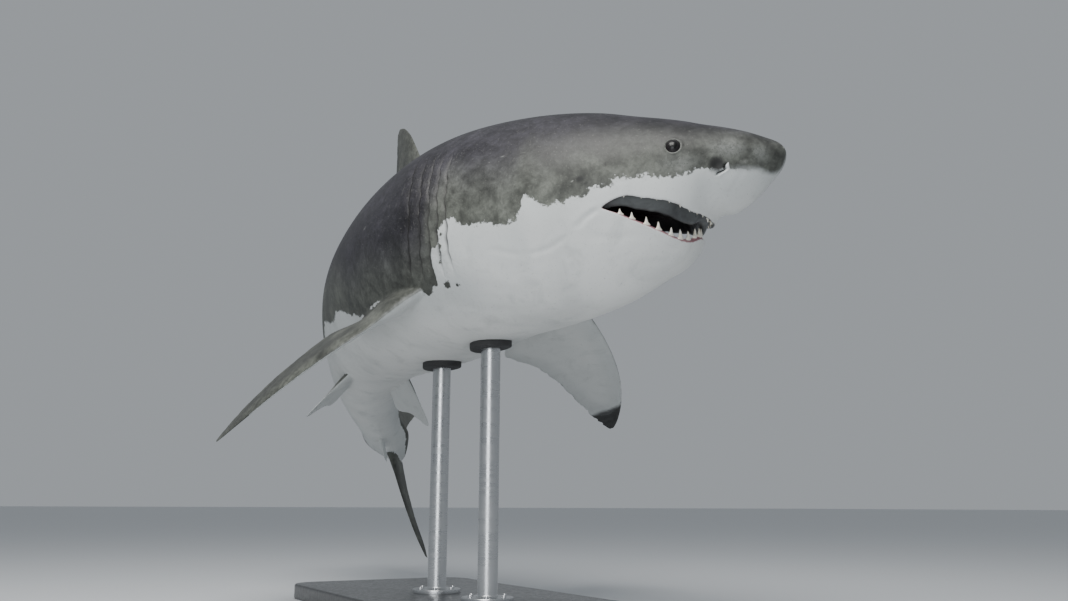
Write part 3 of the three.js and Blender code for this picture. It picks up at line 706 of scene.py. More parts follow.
def half_ring_faces(head_ring, trunk_ring):
    """Joins a ring to one with half as many points: for each of the latter a quad and a triangle."""
    fine = head_ring.reshape(-1, 2)
    next_fine, next_coarse = np.roll(fine[:, 0], -1), np.roll(trunk_ring, -1)
    quads = np.stack([fine[:, 1], trunk_ring, next_coarse, next_fine], -1)
    corners = np.stack([fine[:, 0], trunk_ring, fine[:, 1], fine[:, 1]], -1)
    return np.vstack([quads, corners])


def body_object():
    """The whole body, closed at the snout and at the end of the tail stalk."""
    head, head_marks = body_surface(HEAD_LINES, ANGLES)
    trunk, trunk_marks = body_surface(TRUNK_LINES[1:], ANGLES[::2])
    trunk[-1] = trunk[-1].mean(axis=0)
    count = head.shape[0] * head.shape[1]
    points = np.vstack([head.reshape(-1, 3), trunk.reshape(-1, 3)])
    marks = {m: np.concatenate([head_marks[m].ravel(), trunk_marks[m].ravel()]) for m in MARKS}
    rings = np.arange(count - COLUMNS, count), count + np.arange(COLUMNS // 2)
    quads = np.vstack([
        grid_quads(*head.shape[:2]),
        half_ring_faces(*rings),
        grid_quads(*trunk.shape[:2], first=count),
    ])
    return closed_object("skin", points, quads, BODY, marks)


skin = body_object()
print("body faces:", len(skin.data.polygons))

# %% [markdown]
# ## Fins
#
# A fin is a stack of wing sections. Its outline is a table of front and rear edges, the section is a foil
# with a round front edge and a thin rear one, and the root flares out where it leaves the body. The rear
# edges are nicked and worn, which is noise taken from a seeded generator.

# %% Fin tables
FOIL = [(0, 0.22), (0.06, 0.62), (0.28, 1), (0.6, 0.62), (1, 0.04)]
THIN_EDGE = 1.6 * MM
FIN_COLUMNS = 44

# Rows of (out from the root, front edge, rear edge) in percent.
PECTORAL_PLAN = [
    (-2.6, -0.6, 7.8),
    (0, 0, 8.6),
    (0.7, 0.25, 10.8),
    (1.5, 0.5, 11.7),
    (2.6, 0.9, 11.4),
    (4, 1.5, 10.7),
    (6, 2.5, 10.7),
    (8.8, 4.2, 11.2),
    (12, 6.7, 12.2),
    (15.6, 10.4, 13.3),
    (16.9, 12.1, 13.5),
    (17.4, 12.9, 13.4),
]
PECTORAL_ROOT = {"station": 28.6, "side": 6.9, "pivot": 4.2, "ramp": 6}
PECTORAL_RIGHT = {"height": -6.1, "droop": 31, "sweep": 15, "twist": 7, "root_twist": -2, "curl": 0.23}
PECTORAL_LEFT = {"height": -7.1, "droop": 25, "sweep": 7, "twist": -14, "root_twist": -14, "curl": -0.05}
PECTORAL_SIZE = 1.02
PELVIC_PLAN = [
    (-1.2, -1.2, 5.6),
    (0, 0, 6.9),
    (0.6, 0.6, 7.9),
    (1.3, 1.25, 8.0),
    (2.3, 2.3, 6.6),
    (3.6, 3.6, 6.1),
    (4.6, 4.8, 5.9),
    (4.9, 5.3, 5.7),
]
PELVIC_ROOT = {"station": 53.6, "side": 2.9, "pivot": 0, "ramp": 6}
PELVIC_HOLD = {"height": -6.6, "droop": 42, "sweep": 0, "twist": 0, "root_twist": 0, "curl": 0}

# Rows of (height, front edge, rear edge) in percent.
DORSAL_PLAN = [
    (5.8, 36.4, 48.2),
    (7.2, 37.3, 49.9),
    (7.9, 37.75, 51.0),
    (8.6, 38.15, 49.6),
    (9.6, 38.65, 48.4),
    (11, 39.45, 47.9),
    (13.4, 41.0, 47.6),
    (16, 43.0, 47.35),
    (17.6, 44.8, 47.15),
    (18.3, 45.9, 46.95),
]
SECOND_DORSAL_PLAN = [
    (1.6, 73.4, 76.2),
    (3.0, 74.4, 76.9),
    (3.6, 75.0, 77.6),
    (4.3, 75.8, 77.2),
    (4.7, 76.4, 77.1),
]
ANAL_PLAN = [
    (-1.4, 75.4, 78.2),
    (-2.6, 76.3, 78.9),
    (-3.2, 76.8, 79.6),
    (-4.0, 77.6, 79.2),
    (-4.5, 78.3, 79.1),
]
UPPER_LOBE_PLAN = [
    (-0.9, 79.4, 84.8),
    (0, 79.0, 85.6),
    (1.9, 79.8, 85.9),
    (3.6, 81.9, 86.5),
    (6, 84.0, 87.7),
    (8.8, 86.2, 89.4),
    (11.8, 88.7, 91.5),
    (14.6, 91.1, 93.4),
    (16.8, 93.1, 94.6),
    (18.0, 94.3, 95.05),
]
LOWER_LOBE_PLAN = [
    (0.9, 79.4, 84.8),
    (0, 79.0, 85.6),
    (-1.7, 80.1, 85.75),
    (-3.4, 81.6, 86.1),
    (-5.6, 83.2, 86.7),
    (-8.6, 85.3, 87.8),
    (-11.8, 87.7, 89.25),
    (-13.3, 89.1, 89.55),
]

# %% Fin sections and edges


def worn(reach, seed, depth):
    """Nicks in a rear edge, in percent: seeded random heights along it, raised to a power so that few are
    deep, and joined by straight lines."""
    random = np.random.default_rng(seed)
    knots = np.arange(0, 30, 0.28)
    small = random.random(len(knots)) ** 3
    large = np.interp(knots, knots[::5], random.random(len(knots[::5])) ** 2)
    return depth * (np.interp(reach, knots, small) + 0.6 * np.interp(reach, knots, large))


def fin_rows(plan, steps):
    """Distances out from the root, closer together towards the tip."""
    start, end = plan[0][0], plan[-1][0]
    share = np.linspace(0, 1, steps)
    return start + (end - start) * (1 - (1 - share) ** 1.35)


def fin_grid(plan, rows, share, seed, wear, root, flare=0.9):
    """Front edge, chord position and half thickness of every point of a fin, as grids. Round the section,
    the chord share is (1 - cos) / 2, and the half thickness follows the foil table."""
    sign = 1 if plan[-1][0] > plan[0][0] else -1
    ordered = [(sign * out, front, rear) for out, front, rear in plan]
    reach = sign * rows
    front, rear = np.moveaxis(through(ordered, reach), -1, 0)
    tip = ordered[-1][0]
    exposed = smooth(root, root + 1.5, reach) * smooth(tip, tip - 0.8, reach)
    rear = rear - worn(reach - root, seed, wear) * exposed
    turn = np.arange(FIN_COLUMNS) / FIN_COLUMNS * 2 * np.pi
    back = (1 - np.cos(turn)) / 2
    foil = through(FOIL, back)[..., 0] * np.sqrt(np.clip(back / 0.02, 0, 1))
    thick = (rear - front) * PERCENT * share * (1 + flare * smooth(root + 3.2, root, reach))
    half = np.maximum(foil[None] * thick[:, None], THIN_EDGE) / 2 * np.where(back == 1, 0, 1)
    half = half * np.where(back[None] < 1e-9, 0, 1) * np.sign(np.sin(turn))[None]
    chord = front[:, None] + (rear - front)[:, None] * back[None]
    return reach, chord, half, front, rear


def fin_marks(reach, chord):
    """Marks shared by all fins: places for the streaks of the skin."""
    marks = blank_marks(chord.shape)
    marks["along"] = chord
    marks["around"] = np.repeat(reach[:, None], chord.shape[1], axis=1)
    return marks


def edge_gap(chord, front, rear):
    """Metres to the nearer of the front and rear edges."""
    return PERCENT * np.minimum(chord - front[:, None], rear[:, None] - chord)


def close_ends(points, tip_out):
    """Draws the first row of a fin to its middle, and adds a pole just beyond the last row."""
    points[0] = points[0].mean(axis=0)
    pole = points[-1].mean(axis=0) + tip_out * (points[-1].mean(axis=0) - points[-2].mean(axis=0))
    return np.concatenate([points, np.broadcast_to(pole, (1, *points.shape[1:]))])


def with_pole(marks):
    """Repeats the last row of the marks for the pole."""
    return {key: np.concatenate([value, value[-1:]]) for key, value in marks.items()}


# %% Fins in the middle plane


def median_fin(name, plan, share, steps, seed, wear, root, shade):
    """A fin in the middle plane: station across its chord, height outwards, thickness to the sides."""
    rows = fin_rows(plan, steps)
    reach, chord, half, front, rear = fin_grid(plan, rows, share, seed, wear, root)
    points = body_place(chord, half / PERCENT, rows[:, None] + 0 * chord)
    marks = fin_marks(reach, chord)
    marks["shade"] = shade(reach[:, None], chord, edge_gap(chord, front, rear), half)
    points = close_ends(points, 0.6)
    return closed_object(name, points.reshape(-1, 3), grid_quads(*points.shape[:2]), FIN, with_pole(marks))


# %% Paired fins


def paired_fin(name, plan, root, hold, side, share, steps, seed, wear, flesh, shade, size=1.0):
    """A fin that droops and sweeps back. Each row is turned by a twist that grows from the root, and bent
    down by a curl that grows as the square of the reach."""
    rows = fin_rows(plan, steps)
    reach, chord, half, front, rear = fin_grid(plan, rows, share * size, seed, wear, flesh)
    _, (forward, left, up) = spine_at(root["station"])
    pivot = body_place(np.array(root["station"]), np.array(side * root["side"]), np.array(hold["height"]))
    droop, sweep = np.radians(hold["droop"]), np.radians(hold["sweep"])
    out = left * side * np.cos(droop) - up * np.sin(droop)
    above = -side * np.cross(-forward, out)
    along = rows * size
    outer = np.maximum(along, 0)
    ramp = smooth(0, 1, outer / root["ramp"])
    twist = np.radians(hold["root_twist"] + (hold["twist"] - hold["root_twist"]) * ramp)[:, None]
    chord_way = -forward * np.cos(twist) + above * np.sin(twist)
    face = above * np.cos(twist) + forward * np.sin(twist)
    span = plan[-1][0]
    curl = (hold["curl"] * (outer / span) ** 2 * span)[:, None]
    middle = pivot + PERCENT * along[:, None] * (out * np.cos(sweep) + chord_way * np.sin(sweep))
    middle = middle - PERCENT * curl * face
    chordwise = chord_way * np.cos(sweep) - out * np.sin(sweep)
    shift = (chord * size - root["pivot"]) * PERCENT
    points = middle[:, None] + shift[..., None] * chordwise[:, None] + half[..., None] * face[:, None]
    marks = fin_marks(reach, chord)
    marks["shade"], marks["ink"] = shade(reach[:, None], chord, edge_gap(chord, front, rear), half)
    points = close_ends(points, 0.5)
    return closed_object(name, points.reshape(-1, 3), grid_quads(*points.shape[:2]), FIN, with_pole(marks))

# %% How dark each fin is


def dark_all_over(reach, chord, edge, half):
    """A fin of the back is as dark as the back."""
    return 0.06 + 0 * chord


def dark_tail_lobe(reach, chord, edge, half):
    """The lower lobe is dark, a little less so near its root."""
    return 0.03 + 0.05 * smooth(1.0, 4.0, reach) + 0 * chord


def white_anal(reach, chord, edge, half):
    """The anal fin is white."""
    return -0.05 + 0 * chord


def pectoral_shade(reach, chord, edge, half):
    """Dark above, white below. Below, the tip is black and so is a fringe along the rear edge."""
    below = np.maximum(-edge - 0.003, (reach - 14.3) * PERCENT * 0.8 - 0.3 * edge)
    shade = np.where(half >= 0, np.minimum(edge + 0.012, 0.08), np.clip(below, -0.1, 0.06))
    ink = np.where(half >= 0, 0, smooth(13.4, 14.8, reach)) + 0 * chord
    return shade, ink


def pelvic_shade(reach, chord, edge, half):
    """Dark above near the root, fading to white towards the tip; white below."""
    shade = np.where(half >= 0, 0.035 - 0.012 * reach, -0.06 + 0 * edge)
    return shade, 0 * chord


# %% The fins
fins = [
    median_fin("first_dorsal", DORSAL_PLAN, 0.095, 64, 11, 0.22, 8.0, dark_all_over),
    median_fin("second_dorsal", SECOND_DORSAL_PLAN, 0.1, 22, 12, 0.05, 2.6, dark_all_over),
    median_fin("anal", ANAL_PLAN, 0.1, 22, 13, 0.05, 2.2, white_anal),
    median_fin("upper_lobe", UPPER_LOBE_PLAN, 0.095, 72, 14, 0.13, 1.6, dark_all_over),
    median_fin("lower_lobe", LOWER_LOBE_PLAN, 0.095, 60, 15, 0.12, 1.6, dark_tail_lobe),
]
for side, word, hold, seed in ((-1, "right", PECTORAL_RIGHT, 21), (1, "left", PECTORAL_LEFT, 22)):
    fins.append(paired_fin(
        f"pectoral_{word}", PECTORAL_PLAN, PECTORAL_ROOT, hold, side, 0.085, 96, seed, 0.26, 0.6,
        pectoral_shade, PECTORAL_SIZE,
    ))
    fins.append(paired_fin(
        f"pelvic_{word}", PELVIC_PLAN, PELVIC_ROOT, PELVIC_HOLD, side, 0.07, 30, seed + 5, 0.1, 0.3,
        pelvic_shade,
    ))
print("fins:", [fin.name for fin in fins])

# %% [markdown]
# ## The mouth
#
# The mouth is a closed bag that is taken away from the body. Its two sheets start at the lips and meet in
# the throat. Between lip and throat each has a groove and then the gum that the teeth stand in. The gum
# lowers towards the corners of the mouth, where both sheets meet.

# %% The mouth's tables
# From the middle of the front (0) to the corner of the mouth (1): station and angle.
UPPER_LIP = [
    (0, 5.65, 180),
    (0.12, 5.7, 165),
    (0.25, 6.0, 149),
    (0.38, 6.45, 136),
    (0.5, 7.05, 123.5),
    (0.62, 7.8, 115),
    (0.75, 9.0, 108.5),
    (0.88, 10.35, 103.3),
    (1, 11.7, 105),
]
LOWER_LIP = [
    (0, 6.35, 180),
    (0.12, 6.45, 172),
    (0.25, 6.85, 162),
    (0.38, 7.35, 149.5),
    (0.5, 8.0, 137),
    (0.62, 8.8, 127.3),
    (0.75, 9.75, 118.7),
    (0.88, 10.75, 110.7),
    (1, 11.7, 105),
]
THROAT = np.array([15, 0, -3.6])
PALATE_RISE, FLOOR_DROP = 1.7, 1.0
UPPER_GUM = {
    "groove": 0.3, "groove_at": 0.028, "groove_width": 0.022,
    "ridge": -1.0, "ridge_at": 0.1, "width": 0.042,
}
LOWER_GUM = {
    "groove": -0.06, "groove_at": 0.008, "groove_width": 0.005,
    "ridge": 0.3, "ridge_at": 0.038, "width": 0.02,
}
SCALLOP = 0.55
LIP_STEPS = 132
DEPTHS = np.array([
    0, 0.008, 0.016, 0.025, 0.035, 0.045, 0.056, 0.068, 0.082, 0.098, 0.116, 0.14, 0.17, 0.21, 0.26, 0.32,
    0.39, 0.47, 0.55, 0.64, 0.74, 0.86, 1,
])


def lip_place(lip, t):
    """Station and angle of a lip at t, from -1 at the left corner to 1 at the right one. The upper lip is
    drawn up a little between one tooth and the next, in shallow arches."""
    station, angle = np.moveaxis(through(lip, np.abs(t)), -1, 0)
    if lip is UPPER_LIP:
        angle = angle - SCALLOP * np.abs(np.sin(np.pi * 9 * t)) * smooth(0.2, 0.4, np.abs(t)) * (1 - t**6)
    return station, np.sign(t + 1e-12) * angle


def lining_place(lip, rise, gum, t, v):
    """A body place on the mouth's lining: straight from the lip (v = 0) to the throat (v = 1), plus a swell
    of sin(pi v), the groove and the gum's ridge."""
    station, angle = lip_place(lip, t)
    side, height = section(station, angle)
    swell = rise * np.sin(np.pi * v) * (1 - t**4)
    ridge = gum["groove"] * hill(v - gum["groove_at"], gum["groove_width"]) * smooth(0, 0.01, v)
    ridge = ridge + gum["ridge"] * hill(v - gum["ridge_at"], gum["width"]) * smooth(0, 0.012, v)
    if lip is UPPER_LIP:
        ridge = ridge * (0.35 + 0.65 * smooth(0, 0.25, np.abs(t)))
    height = height + (THROAT[2] - height) * v + swell + ridge * (1 - t**6)
    if lip is LOWER_LIP:
        height = height + 0.5 * hill(v - 0.5, 0.2) * hill(t, 0.45) * (1 - t**6)
    return station + (THROAT[0] - station) * v, side * (1 - v), height


def mouth_bag():
    """The closed bag. Each ring runs from outside the skin over the roof to the throat and back out."""
    t = np.linspace(-1, 1, LIP_STEPS + 1)[:, None]
    outside = np.array([0.07, 0.03, 0.01])[None]
    columns = []
    marks = []
    for lip, rise, gum in ((UPPER_LIP, PALATE_RISE, UPPER_GUM), (LOWER_LIP, -FLOOR_DROP, LOWER_GUM)):
        station, angle = lip_place(lip, t + 0 * outside)
        skin_side = skin_off(station, angle, outside + 0 * t)
        inner = body_place(*lining_place(lip, rise, gum, t, DEPTHS[None]))
        depth = np.concatenate([0 * outside[0], DEPTHS])
        sheet = np.concatenate([skin_side, inner], axis=1)
        columns.append(sheet if lip is UPPER_LIP else sheet[:, ::-1])
        marks.append(depth if lip is UPPER_LIP else depth[::-1])
    points = np.concatenate(columns, axis=1)
    depth = np.broadcast_to(np.concatenate(marks), points.shape[:2])
    values = blank_marks(points.shape[:2])
    values["gum"] = smooth(-0.002, 0.008, depth) + 0 * t
    values["roof"] = np.repeat([1.0, 0.0], len(depth[0]) // 2) + 0 * t
    # Painted shade: deep is how far the lining is painted dark towards the throat.
    values["deep"] = smooth(0.1, 0.6, depth)
    values["shade"] = np.full(points.shape[:2], -0.08)
    values["along"] = np.broadcast_to(t * 8, points.shape[:2])
    values["around"] = depth * 40
    quads = grid_quads(*points.shape[:2])
    return closed_object("mouth_bag", points.reshape(-1, 3), quads, LINING, values)


mouth_bag_object = mouth_bag()
print("mouth bag faces:", len(mouth_bag_object.data.polygons))

# %% [markdown]
# ## One skin
#
# The fins are joined to the body and the mouth is cut from it with Boolean modifiers, whose exact meeting
# lines get new points. Those carry no marks yet, so each takes the mean of its neighbours. Then the skin is
# relaxed near the meeting lines: sharp lips become round, and fins grow out of the body in a soft curve.

# %% Joining and cutting


def combined(target, other, operation):
    """The Boolean result as target's new mesh; other is removed."""
    change = target.modifiers.new(operation, "BOOLEAN")
    change.operation, change.object, change.solver = operation, other, "MANIFOLD"
    view = bpy.context.evaluated_depsgraph_get()
    result = bpy.data.meshes.new_from_object(target.evaluated_get(view))
    target.modifiers.clear()
    target.data = result
    bpy.data.objects.remove(other)


def read(mesh, mark):
    """A point attribute as an array."""
    values = np.zeros(len(mesh.vertices), np.float32)
    mesh.attributes[mark].data.foreach_get("value", values)
    return values.astype(float)


for fin in fins:
    combined(skin, fin, "UNION")
combined(skin, mouth_bag_object, "DIFFERENCE")
print("joined skin:", len(skin.data.vertices), "points,", len(skin.data.polygons), "faces")

# %% Closing small gaps between points
MERGE = 0.8 * MM


def merged(mesh):
    """Merges points of the meeting lines that nearly touch, closes what small holes that leaves, and turns
    all faces outwards."""
    work = bmesh.new()
    work.from_mesh(mesh)
    part = work.verts.layers.float["part"]
    seam = [v for v in work.verts if v[part] < 0.5]
    ring = {w for v in seam for edge in v.link_edges for w in edge.verts}
    bmesh.ops.remove_doubles(work, verts=list(ring), dist=MERGE)
    bmesh.ops.dissolve_degenerate(work, edges=work.edges, dist=0.1 * MM)
    bmesh.ops.holes_fill(work, edges=[e for e in work.edges if e.is_boundary], sides=8)
    bmesh.ops.recalc_face_normals(work, faces=work.faces)
    work.to_mesh(mesh)
    work.free()


merged(skin.data)
print("after merging:", len(skin.data.vertices), "points,", len(skin.data.polygons), "faces")

# %% Filling marks and relaxing the meeting lines


def edge_ends(mesh):
    """Both ends of every edge."""
    ends = np.zeros(len(mesh.edges) * 2, np.int32)
    mesh.edges.foreach_get("vertices", ends)
    return ends.reshape(-1, 2)


def around_mean(values, ends, weight):
    """Each point's mean over its neighbours, which count by their weight."""
    a, b = ends.T
    count = len(values)
    total = np.bincount(a, weight[b], count) + np.bincount(b, weight[a], count)
    flat = values.reshape(count, -1)
    summed = [
        np.bincount(a, flat[b, k] * weight[b], count) + np.bincount(b, flat[a, k] * weight[a], count)
        for k in range(flat.shape[1])
    ]
    mean = np.stack(summed, -1) / np.maximum(total, 1e-9)[:, None]
    return mean.reshape(values.shape), total


def filled(mesh, ends):
    """Marks of every point, with the meeting lines' own points filled in from their neighbours."""
    known = (read(mesh, "part") > 0.5).astype(float)
    table = np.stack([read(mesh, mark) for mark in MARKS], -1)
    table[known < 0.5] = 0
    while known.min() < 0.5:
        mean, total = around_mean(table, ends, known)
        new = (known < 0.5) & (total > 0)
        if not new.any():
            break
        table[new] = mean[new]
        known[new] = 1
    return table


def relaxed(points, ends, weight, times):
    """Moves points towards the mean of their neighbours by their weight, times over."""
    ones = np.ones(len(points))
    for _ in range(times):
        mean, _ = around_mean(points, ends, ones)
        points = points + weight[:, None] * (mean - points)
    return points


def spread_weight(start, ends, times):
    """Spreads a weight of 1 outwards from its points, a little less at each step."""
    weight = start.copy()
    a, b = ends.T
    for _ in range(times):
        grown = weight.copy()
        np.maximum.at(grown, a, weight[b] - 1 / (times + 1))
        np.maximum.at(grown, b, weight[a] - 1 / (times + 1))
        weight = grown
    return weight


def finish_skin(mesh):
    """Fills the marks, rounds the lips a little and the fins' roots more."""
    ends = edge_ends(mesh)
    part = read(mesh, "part")
    seam = part < 0.5
    a, b = ends.T
    touches_lining = np.zeros(len(part), bool)
    touches_lining[a[part[b] == LINING]] = True
    touches_lining[b[part[a] == LINING]] = True
    table = filled(mesh, ends)
    points = np.zeros(len(part) * 3)
    mesh.vertices.foreach_get("co", points)
    points = points.reshape(-1, 3)
    station, _ = around_mean(read(mesh, "along"), ends, (part == BODY).astype(float))
    large = ((station > 27) & (station < 52)) | (station > 78)
    lips = (seam & touches_lining).astype(float)
    roots = (seam & ~touches_lining).astype(float)
    points = relaxed(points, ends, 0.5 * spread_weight(lips, ends, 3), 7)
    points = relaxed(points, ends, 0.5 * spread_weight(roots, ends, 2), 5)
    points = relaxed(points, ends, 0.55 * spread_weight(roots * large, ends, 6), 22)
    mesh.vertices.foreach_set("co", points.ravel())
    for column, mark in enumerate(MARKS):
        mesh.attributes[mark].data.foreach_set("value", table[:, column].astype(np.float32))
    mesh.polygons.foreach_set("use_smooth", np.ones(len(mesh.polygons), bool))
    mesh.update()
    return int(seam.sum())


print("points on meeting lines:", finish_skin(skin.data))

# %% [markdown]
# ## Teeth
#
# The lower teeth are slender spikes on wide feet, and lean a little forward. Those of the upper jaw show
# only their points below the drawn-up lip. Each tooth is a stack of pointed ovals that narrows in a curve,
# and stands in the gum just behind its lip.

# %% Teeth
LOWER_TEETH, UPPER_TEETH = 9, 9
TOOTH_RINGS, TOOTH_SIDES = 20, 16


def tooth(foot, point, along, height, sink, width, flat=0.6, bend=0.0):
    """One closed tooth. Above the gum the half width is that of a slender blade plus a foot that fades as
    e^(-height / 0.15), so that the sides are hollow. The tip bends by a share of the height."""
    point = point / np.linalg.norm(point)
    along = along - point * (along @ point)
    along = along / np.linalg.norm(along)
    facing = np.cross(along, point)
    share = np.linspace(0, 1, TOOTH_RINGS)[:, None]
    above = np.clip((share * (height + sink) - sink) / height, 0, 1)
    blade = 0.22 * (1 - above) ** 0.85 + 0.02
    half = width * (blade + 0.3 * np.exp(-above / 0.15)) * np.sqrt(np.clip((1 - share) / 0.05, 0, 1))
    thick = width * flat * (0.34 * (1 - above) ** 0.7 + 0.03) * np.sqrt(np.clip((1 - share) / 0.05, 0, 1))
    turn = np.arange(TOOTH_SIDES)[None] / TOOTH_SIDES * 2 * np.pi
    across = half * np.sign(np.cos(turn)) * np.abs(np.cos(turn)) ** 0.9
    depth = thick * np.sin(turn)
    rise = share * (height + sink) - sink + 0 * turn
    lean = bend * height * np.clip(rise / height, 0, 1) ** 2
    points = (
        foot
        + across[..., None] * along
        + (depth + lean)[..., None] * facing
        + rise[..., None] * point
    )
    points[0] = points[0].mean(axis=0)
    points[-1] = points[-1].mean(axis=0)
    return points


def tooth_row(lip, rise, gum, count, upwards, kind, seed):
    """Tall teeth along one jaw with seeded small differences. Where the kind has a reserve, a shorter tooth
    stands between each pair."""
    random = np.random.default_rng(seed)
    teeth = []
    for side in (-1, 1):
        for number in range(2 * count):
            reserve = number % 2 == 1
            if reserve and kind["reserve"] == 0:
                continue
            t = side * (number / 2 + 0.6) / (count + 1)
            t = t + random.normal(0, 0.004)
            inset = kind["inset"] + (0.03 if reserve else 0)
            foot = body_place(*lining_place(lip, rise, gum, np.array(t), np.array(inset)))
            station, angle = lip_place(lip, np.array(t))
            outward = skin_point(station, angle) - body_place(*THROAT)
            _, axes = spine_at(station)
            outward = outward - axes[2] * (outward @ axes[2])
            outward = outward / np.linalg.norm(outward)
            along = np.cross(axes[2], outward)
            size = (1 - kind["shrink"] * t * t) * random.normal(1, 0.06) * (kind["reserve"] if reserve else 1)
            point = upwards * axes[2] + (kind["lean"] + random.normal(0, 0.05)) * outward
            point = point + random.normal(0, 0.04) * along
            teeth.append(tooth(
                foot, point, along, kind["height"] * MM * size, kind["sink"] * MM,
                kind["width"] * MM * (0.5 + 0.5 * size), bend=kind["bend"],
            ))
    return teeth


LOWER_KIND = {
    "height": 30, "width": 30, "sink": 7, "inset": 0.036,
    "lean": 0.22, "shrink": 0.55, "reserve": 0.4, "bend": -0.08,
}
UPPER_KIND = {
    "height": 12, "width": 18, "sink": 7, "inset": 0.022,
    "lean": -0.15, "shrink": 0.4, "reserve": 0.0, "bend": 0.0,
}


def joined_piece(name, stacks):
    """One smooth mesh of several closed grids."""
    points, quads, count = [], [], 0
    for stack in stacks:
        points.append(stack.reshape(-1, 3))
        quads.append(grid_quads(*stack.shape[:2], first=count))
        count += stack.shape[0] * stack.shape[1]
    return closed_object(name, np.vstack(points), np.vstack(quads), 0)


teeth = joined_piece("teeth", [
    *tooth_row(LOWER_LIP, -FLOOR_DROP, LOWER_GUM, LOWER_TEETH, 1, LOWER_KIND, 31),
    *tooth_row(UPPER_LIP, PALATE_RISE, UPPER_GUM, UPPER_TEETH, -1, UPPER_KIND, 32),
])
print("teeth faces:", len(teeth.data.polygons))

# %% [markdown]
# ## Eyes
#
# A white shark's eye is a ball that looks black. The iris is a very dark blue-brown ring that shows only
# in strong light. The ball sits deep in the head, so that only its front fifth shows.

# %% Eyes


def eyeball(side):
    """A ball with its pole facing outwards. Its marks hold the distance from the pole, from 0 to 1."""
    station, angle = np.array(EYE["station"]), np.array(side * EYE["angle"])
    outward = skin_normal(station, angle)
    centre = skin_point(station, angle) - EYE["depth"] * outward
    _, axes = spine_at(station)
    first = np.cross(outward, axes[2])
    first = first / np.linalg.norm(first)
    second = np.cross(outward, first)
    polar = np.linspace(0, np.pi, 49)[:, None]
    turn = np.arange(96)[None] / 96 * 2 * np.pi
    ring = np.sin(polar)
    direction = (
        np.cos(polar + 0 * turn)[..., None] * outward
        + (ring * np.cos(turn))[..., None] * first
        + (ring * np.sin(turn))[..., None] * second
    )
    points = centre + EYE["radius"] * direction
    marks = blank_marks(points.shape[:2])
    marks["along"] = polar / np.pi + 0 * turn
    quads = grid_quads(*points.shape[:2])
    return closed_object(f"eyeball_{'right' if side > 0 else 'left'}", points.reshape(-1, 3), quads, 0, marks)


eyes = [eyeball(1), eyeball(-1)]

# %% [markdown]
# ## Materials
#
# Node groups hold what several materials share. Each gives out only masks, and the material decides what
# they do.

# %% Helpers for nodes


def maths(tree, operation, a, b=0.0, c=0.0, clamp=False):
    """The output of a Math node; a, b and c are sockets or numbers."""
    node = tree.nodes.new("ShaderNodeMath")
    node.operation, node.use_clamp = operation, clamp
    for socket, value in zip(node.inputs, (a, b, c)):
        if isinstance(value, (int, float)):
            socket.default_value = value
        else:
            tree.links.new(value, socket)
    return node.outputs[0]


def ramp(tree, value, low, high, to_low=0.0, to_high=1.0):
    """A smooth step of a value from low to high."""
    node = tree.nodes.new("ShaderNodeMapRange")
    node.interpolation_type = "SMOOTHSTEP"
    tree.links.new(value, node.inputs["Value"])
    for name, number in (("From Min", low), ("From Max", high), ("To Min", to_low), ("To Max", to_high)):
        node.inputs[name].default_value = number
    return node.outputs["Result"]


def blended(tree, share, a, b, way="MIX"):
    """A colour between a and b; share, a and b are sockets or constants."""
    node = tree.nodes.new("ShaderNodeMix")
    node.data_type, node.blend_type = "RGBA", way
    for socket, value in ((node.inputs[0], share), (node.inputs[6], a), (node.inputs[7], b)):
        if isinstance(value, (int, float)):
            socket.default_value = value
        elif isinstance(value, tuple):
            socket.default_value = (*value, 1)
        else:
            tree.links.new(value, socket)
    return node.outputs[2]


def blended_value(tree, share, a, b):
    """A value between a and b."""
    node = tree.nodes.new("ShaderNodeMix")
    for socket, value in zip(node.inputs[0:1] + node.inputs[2:4], (share, a, b)):
        tree.links.new(value, socket)
    return node.outputs[0]


def noise(tree, place, scale, detail=3.0, roughness=0.55, distortion=0.0):
    """The value of a noise texture, about 0.5 on average."""
    node = tree.nodes.new("ShaderNodeTexNoise")
    tree.links.new(place, node.inputs["Vector"])
    for name, number in (("Scale", scale), ("Detail", detail), ("Roughness", roughness)):
        node.inputs[name].default_value = number
    node.inputs["Distortion"].default_value = distortion
    return node.outputs["Fac"]


def mark(tree, name):
    """A mark of the mesh as a value."""
    node = tree.nodes.new("ShaderNodeAttribute")
    node.attribute_name = name
    return node.outputs["Fac"]


def new_group(name, outputs):
    """A node group whose outputs are values with these names."""
    group = bpy.data.node_groups.new(name, "ShaderNodeTree")
    for output in outputs:
        group.interface.new_socket(output, in_out="OUTPUT", socket_type="NodeSocketFloat")
    return group, group.nodes.new("NodeGroupOutput")


def use_group(tree, group):
    """Adds a node group to a material."""
    node = tree.nodes.new("ShaderNodeGroup")
    node.node_tree = group
    return node


# %% Shared masks of the skin


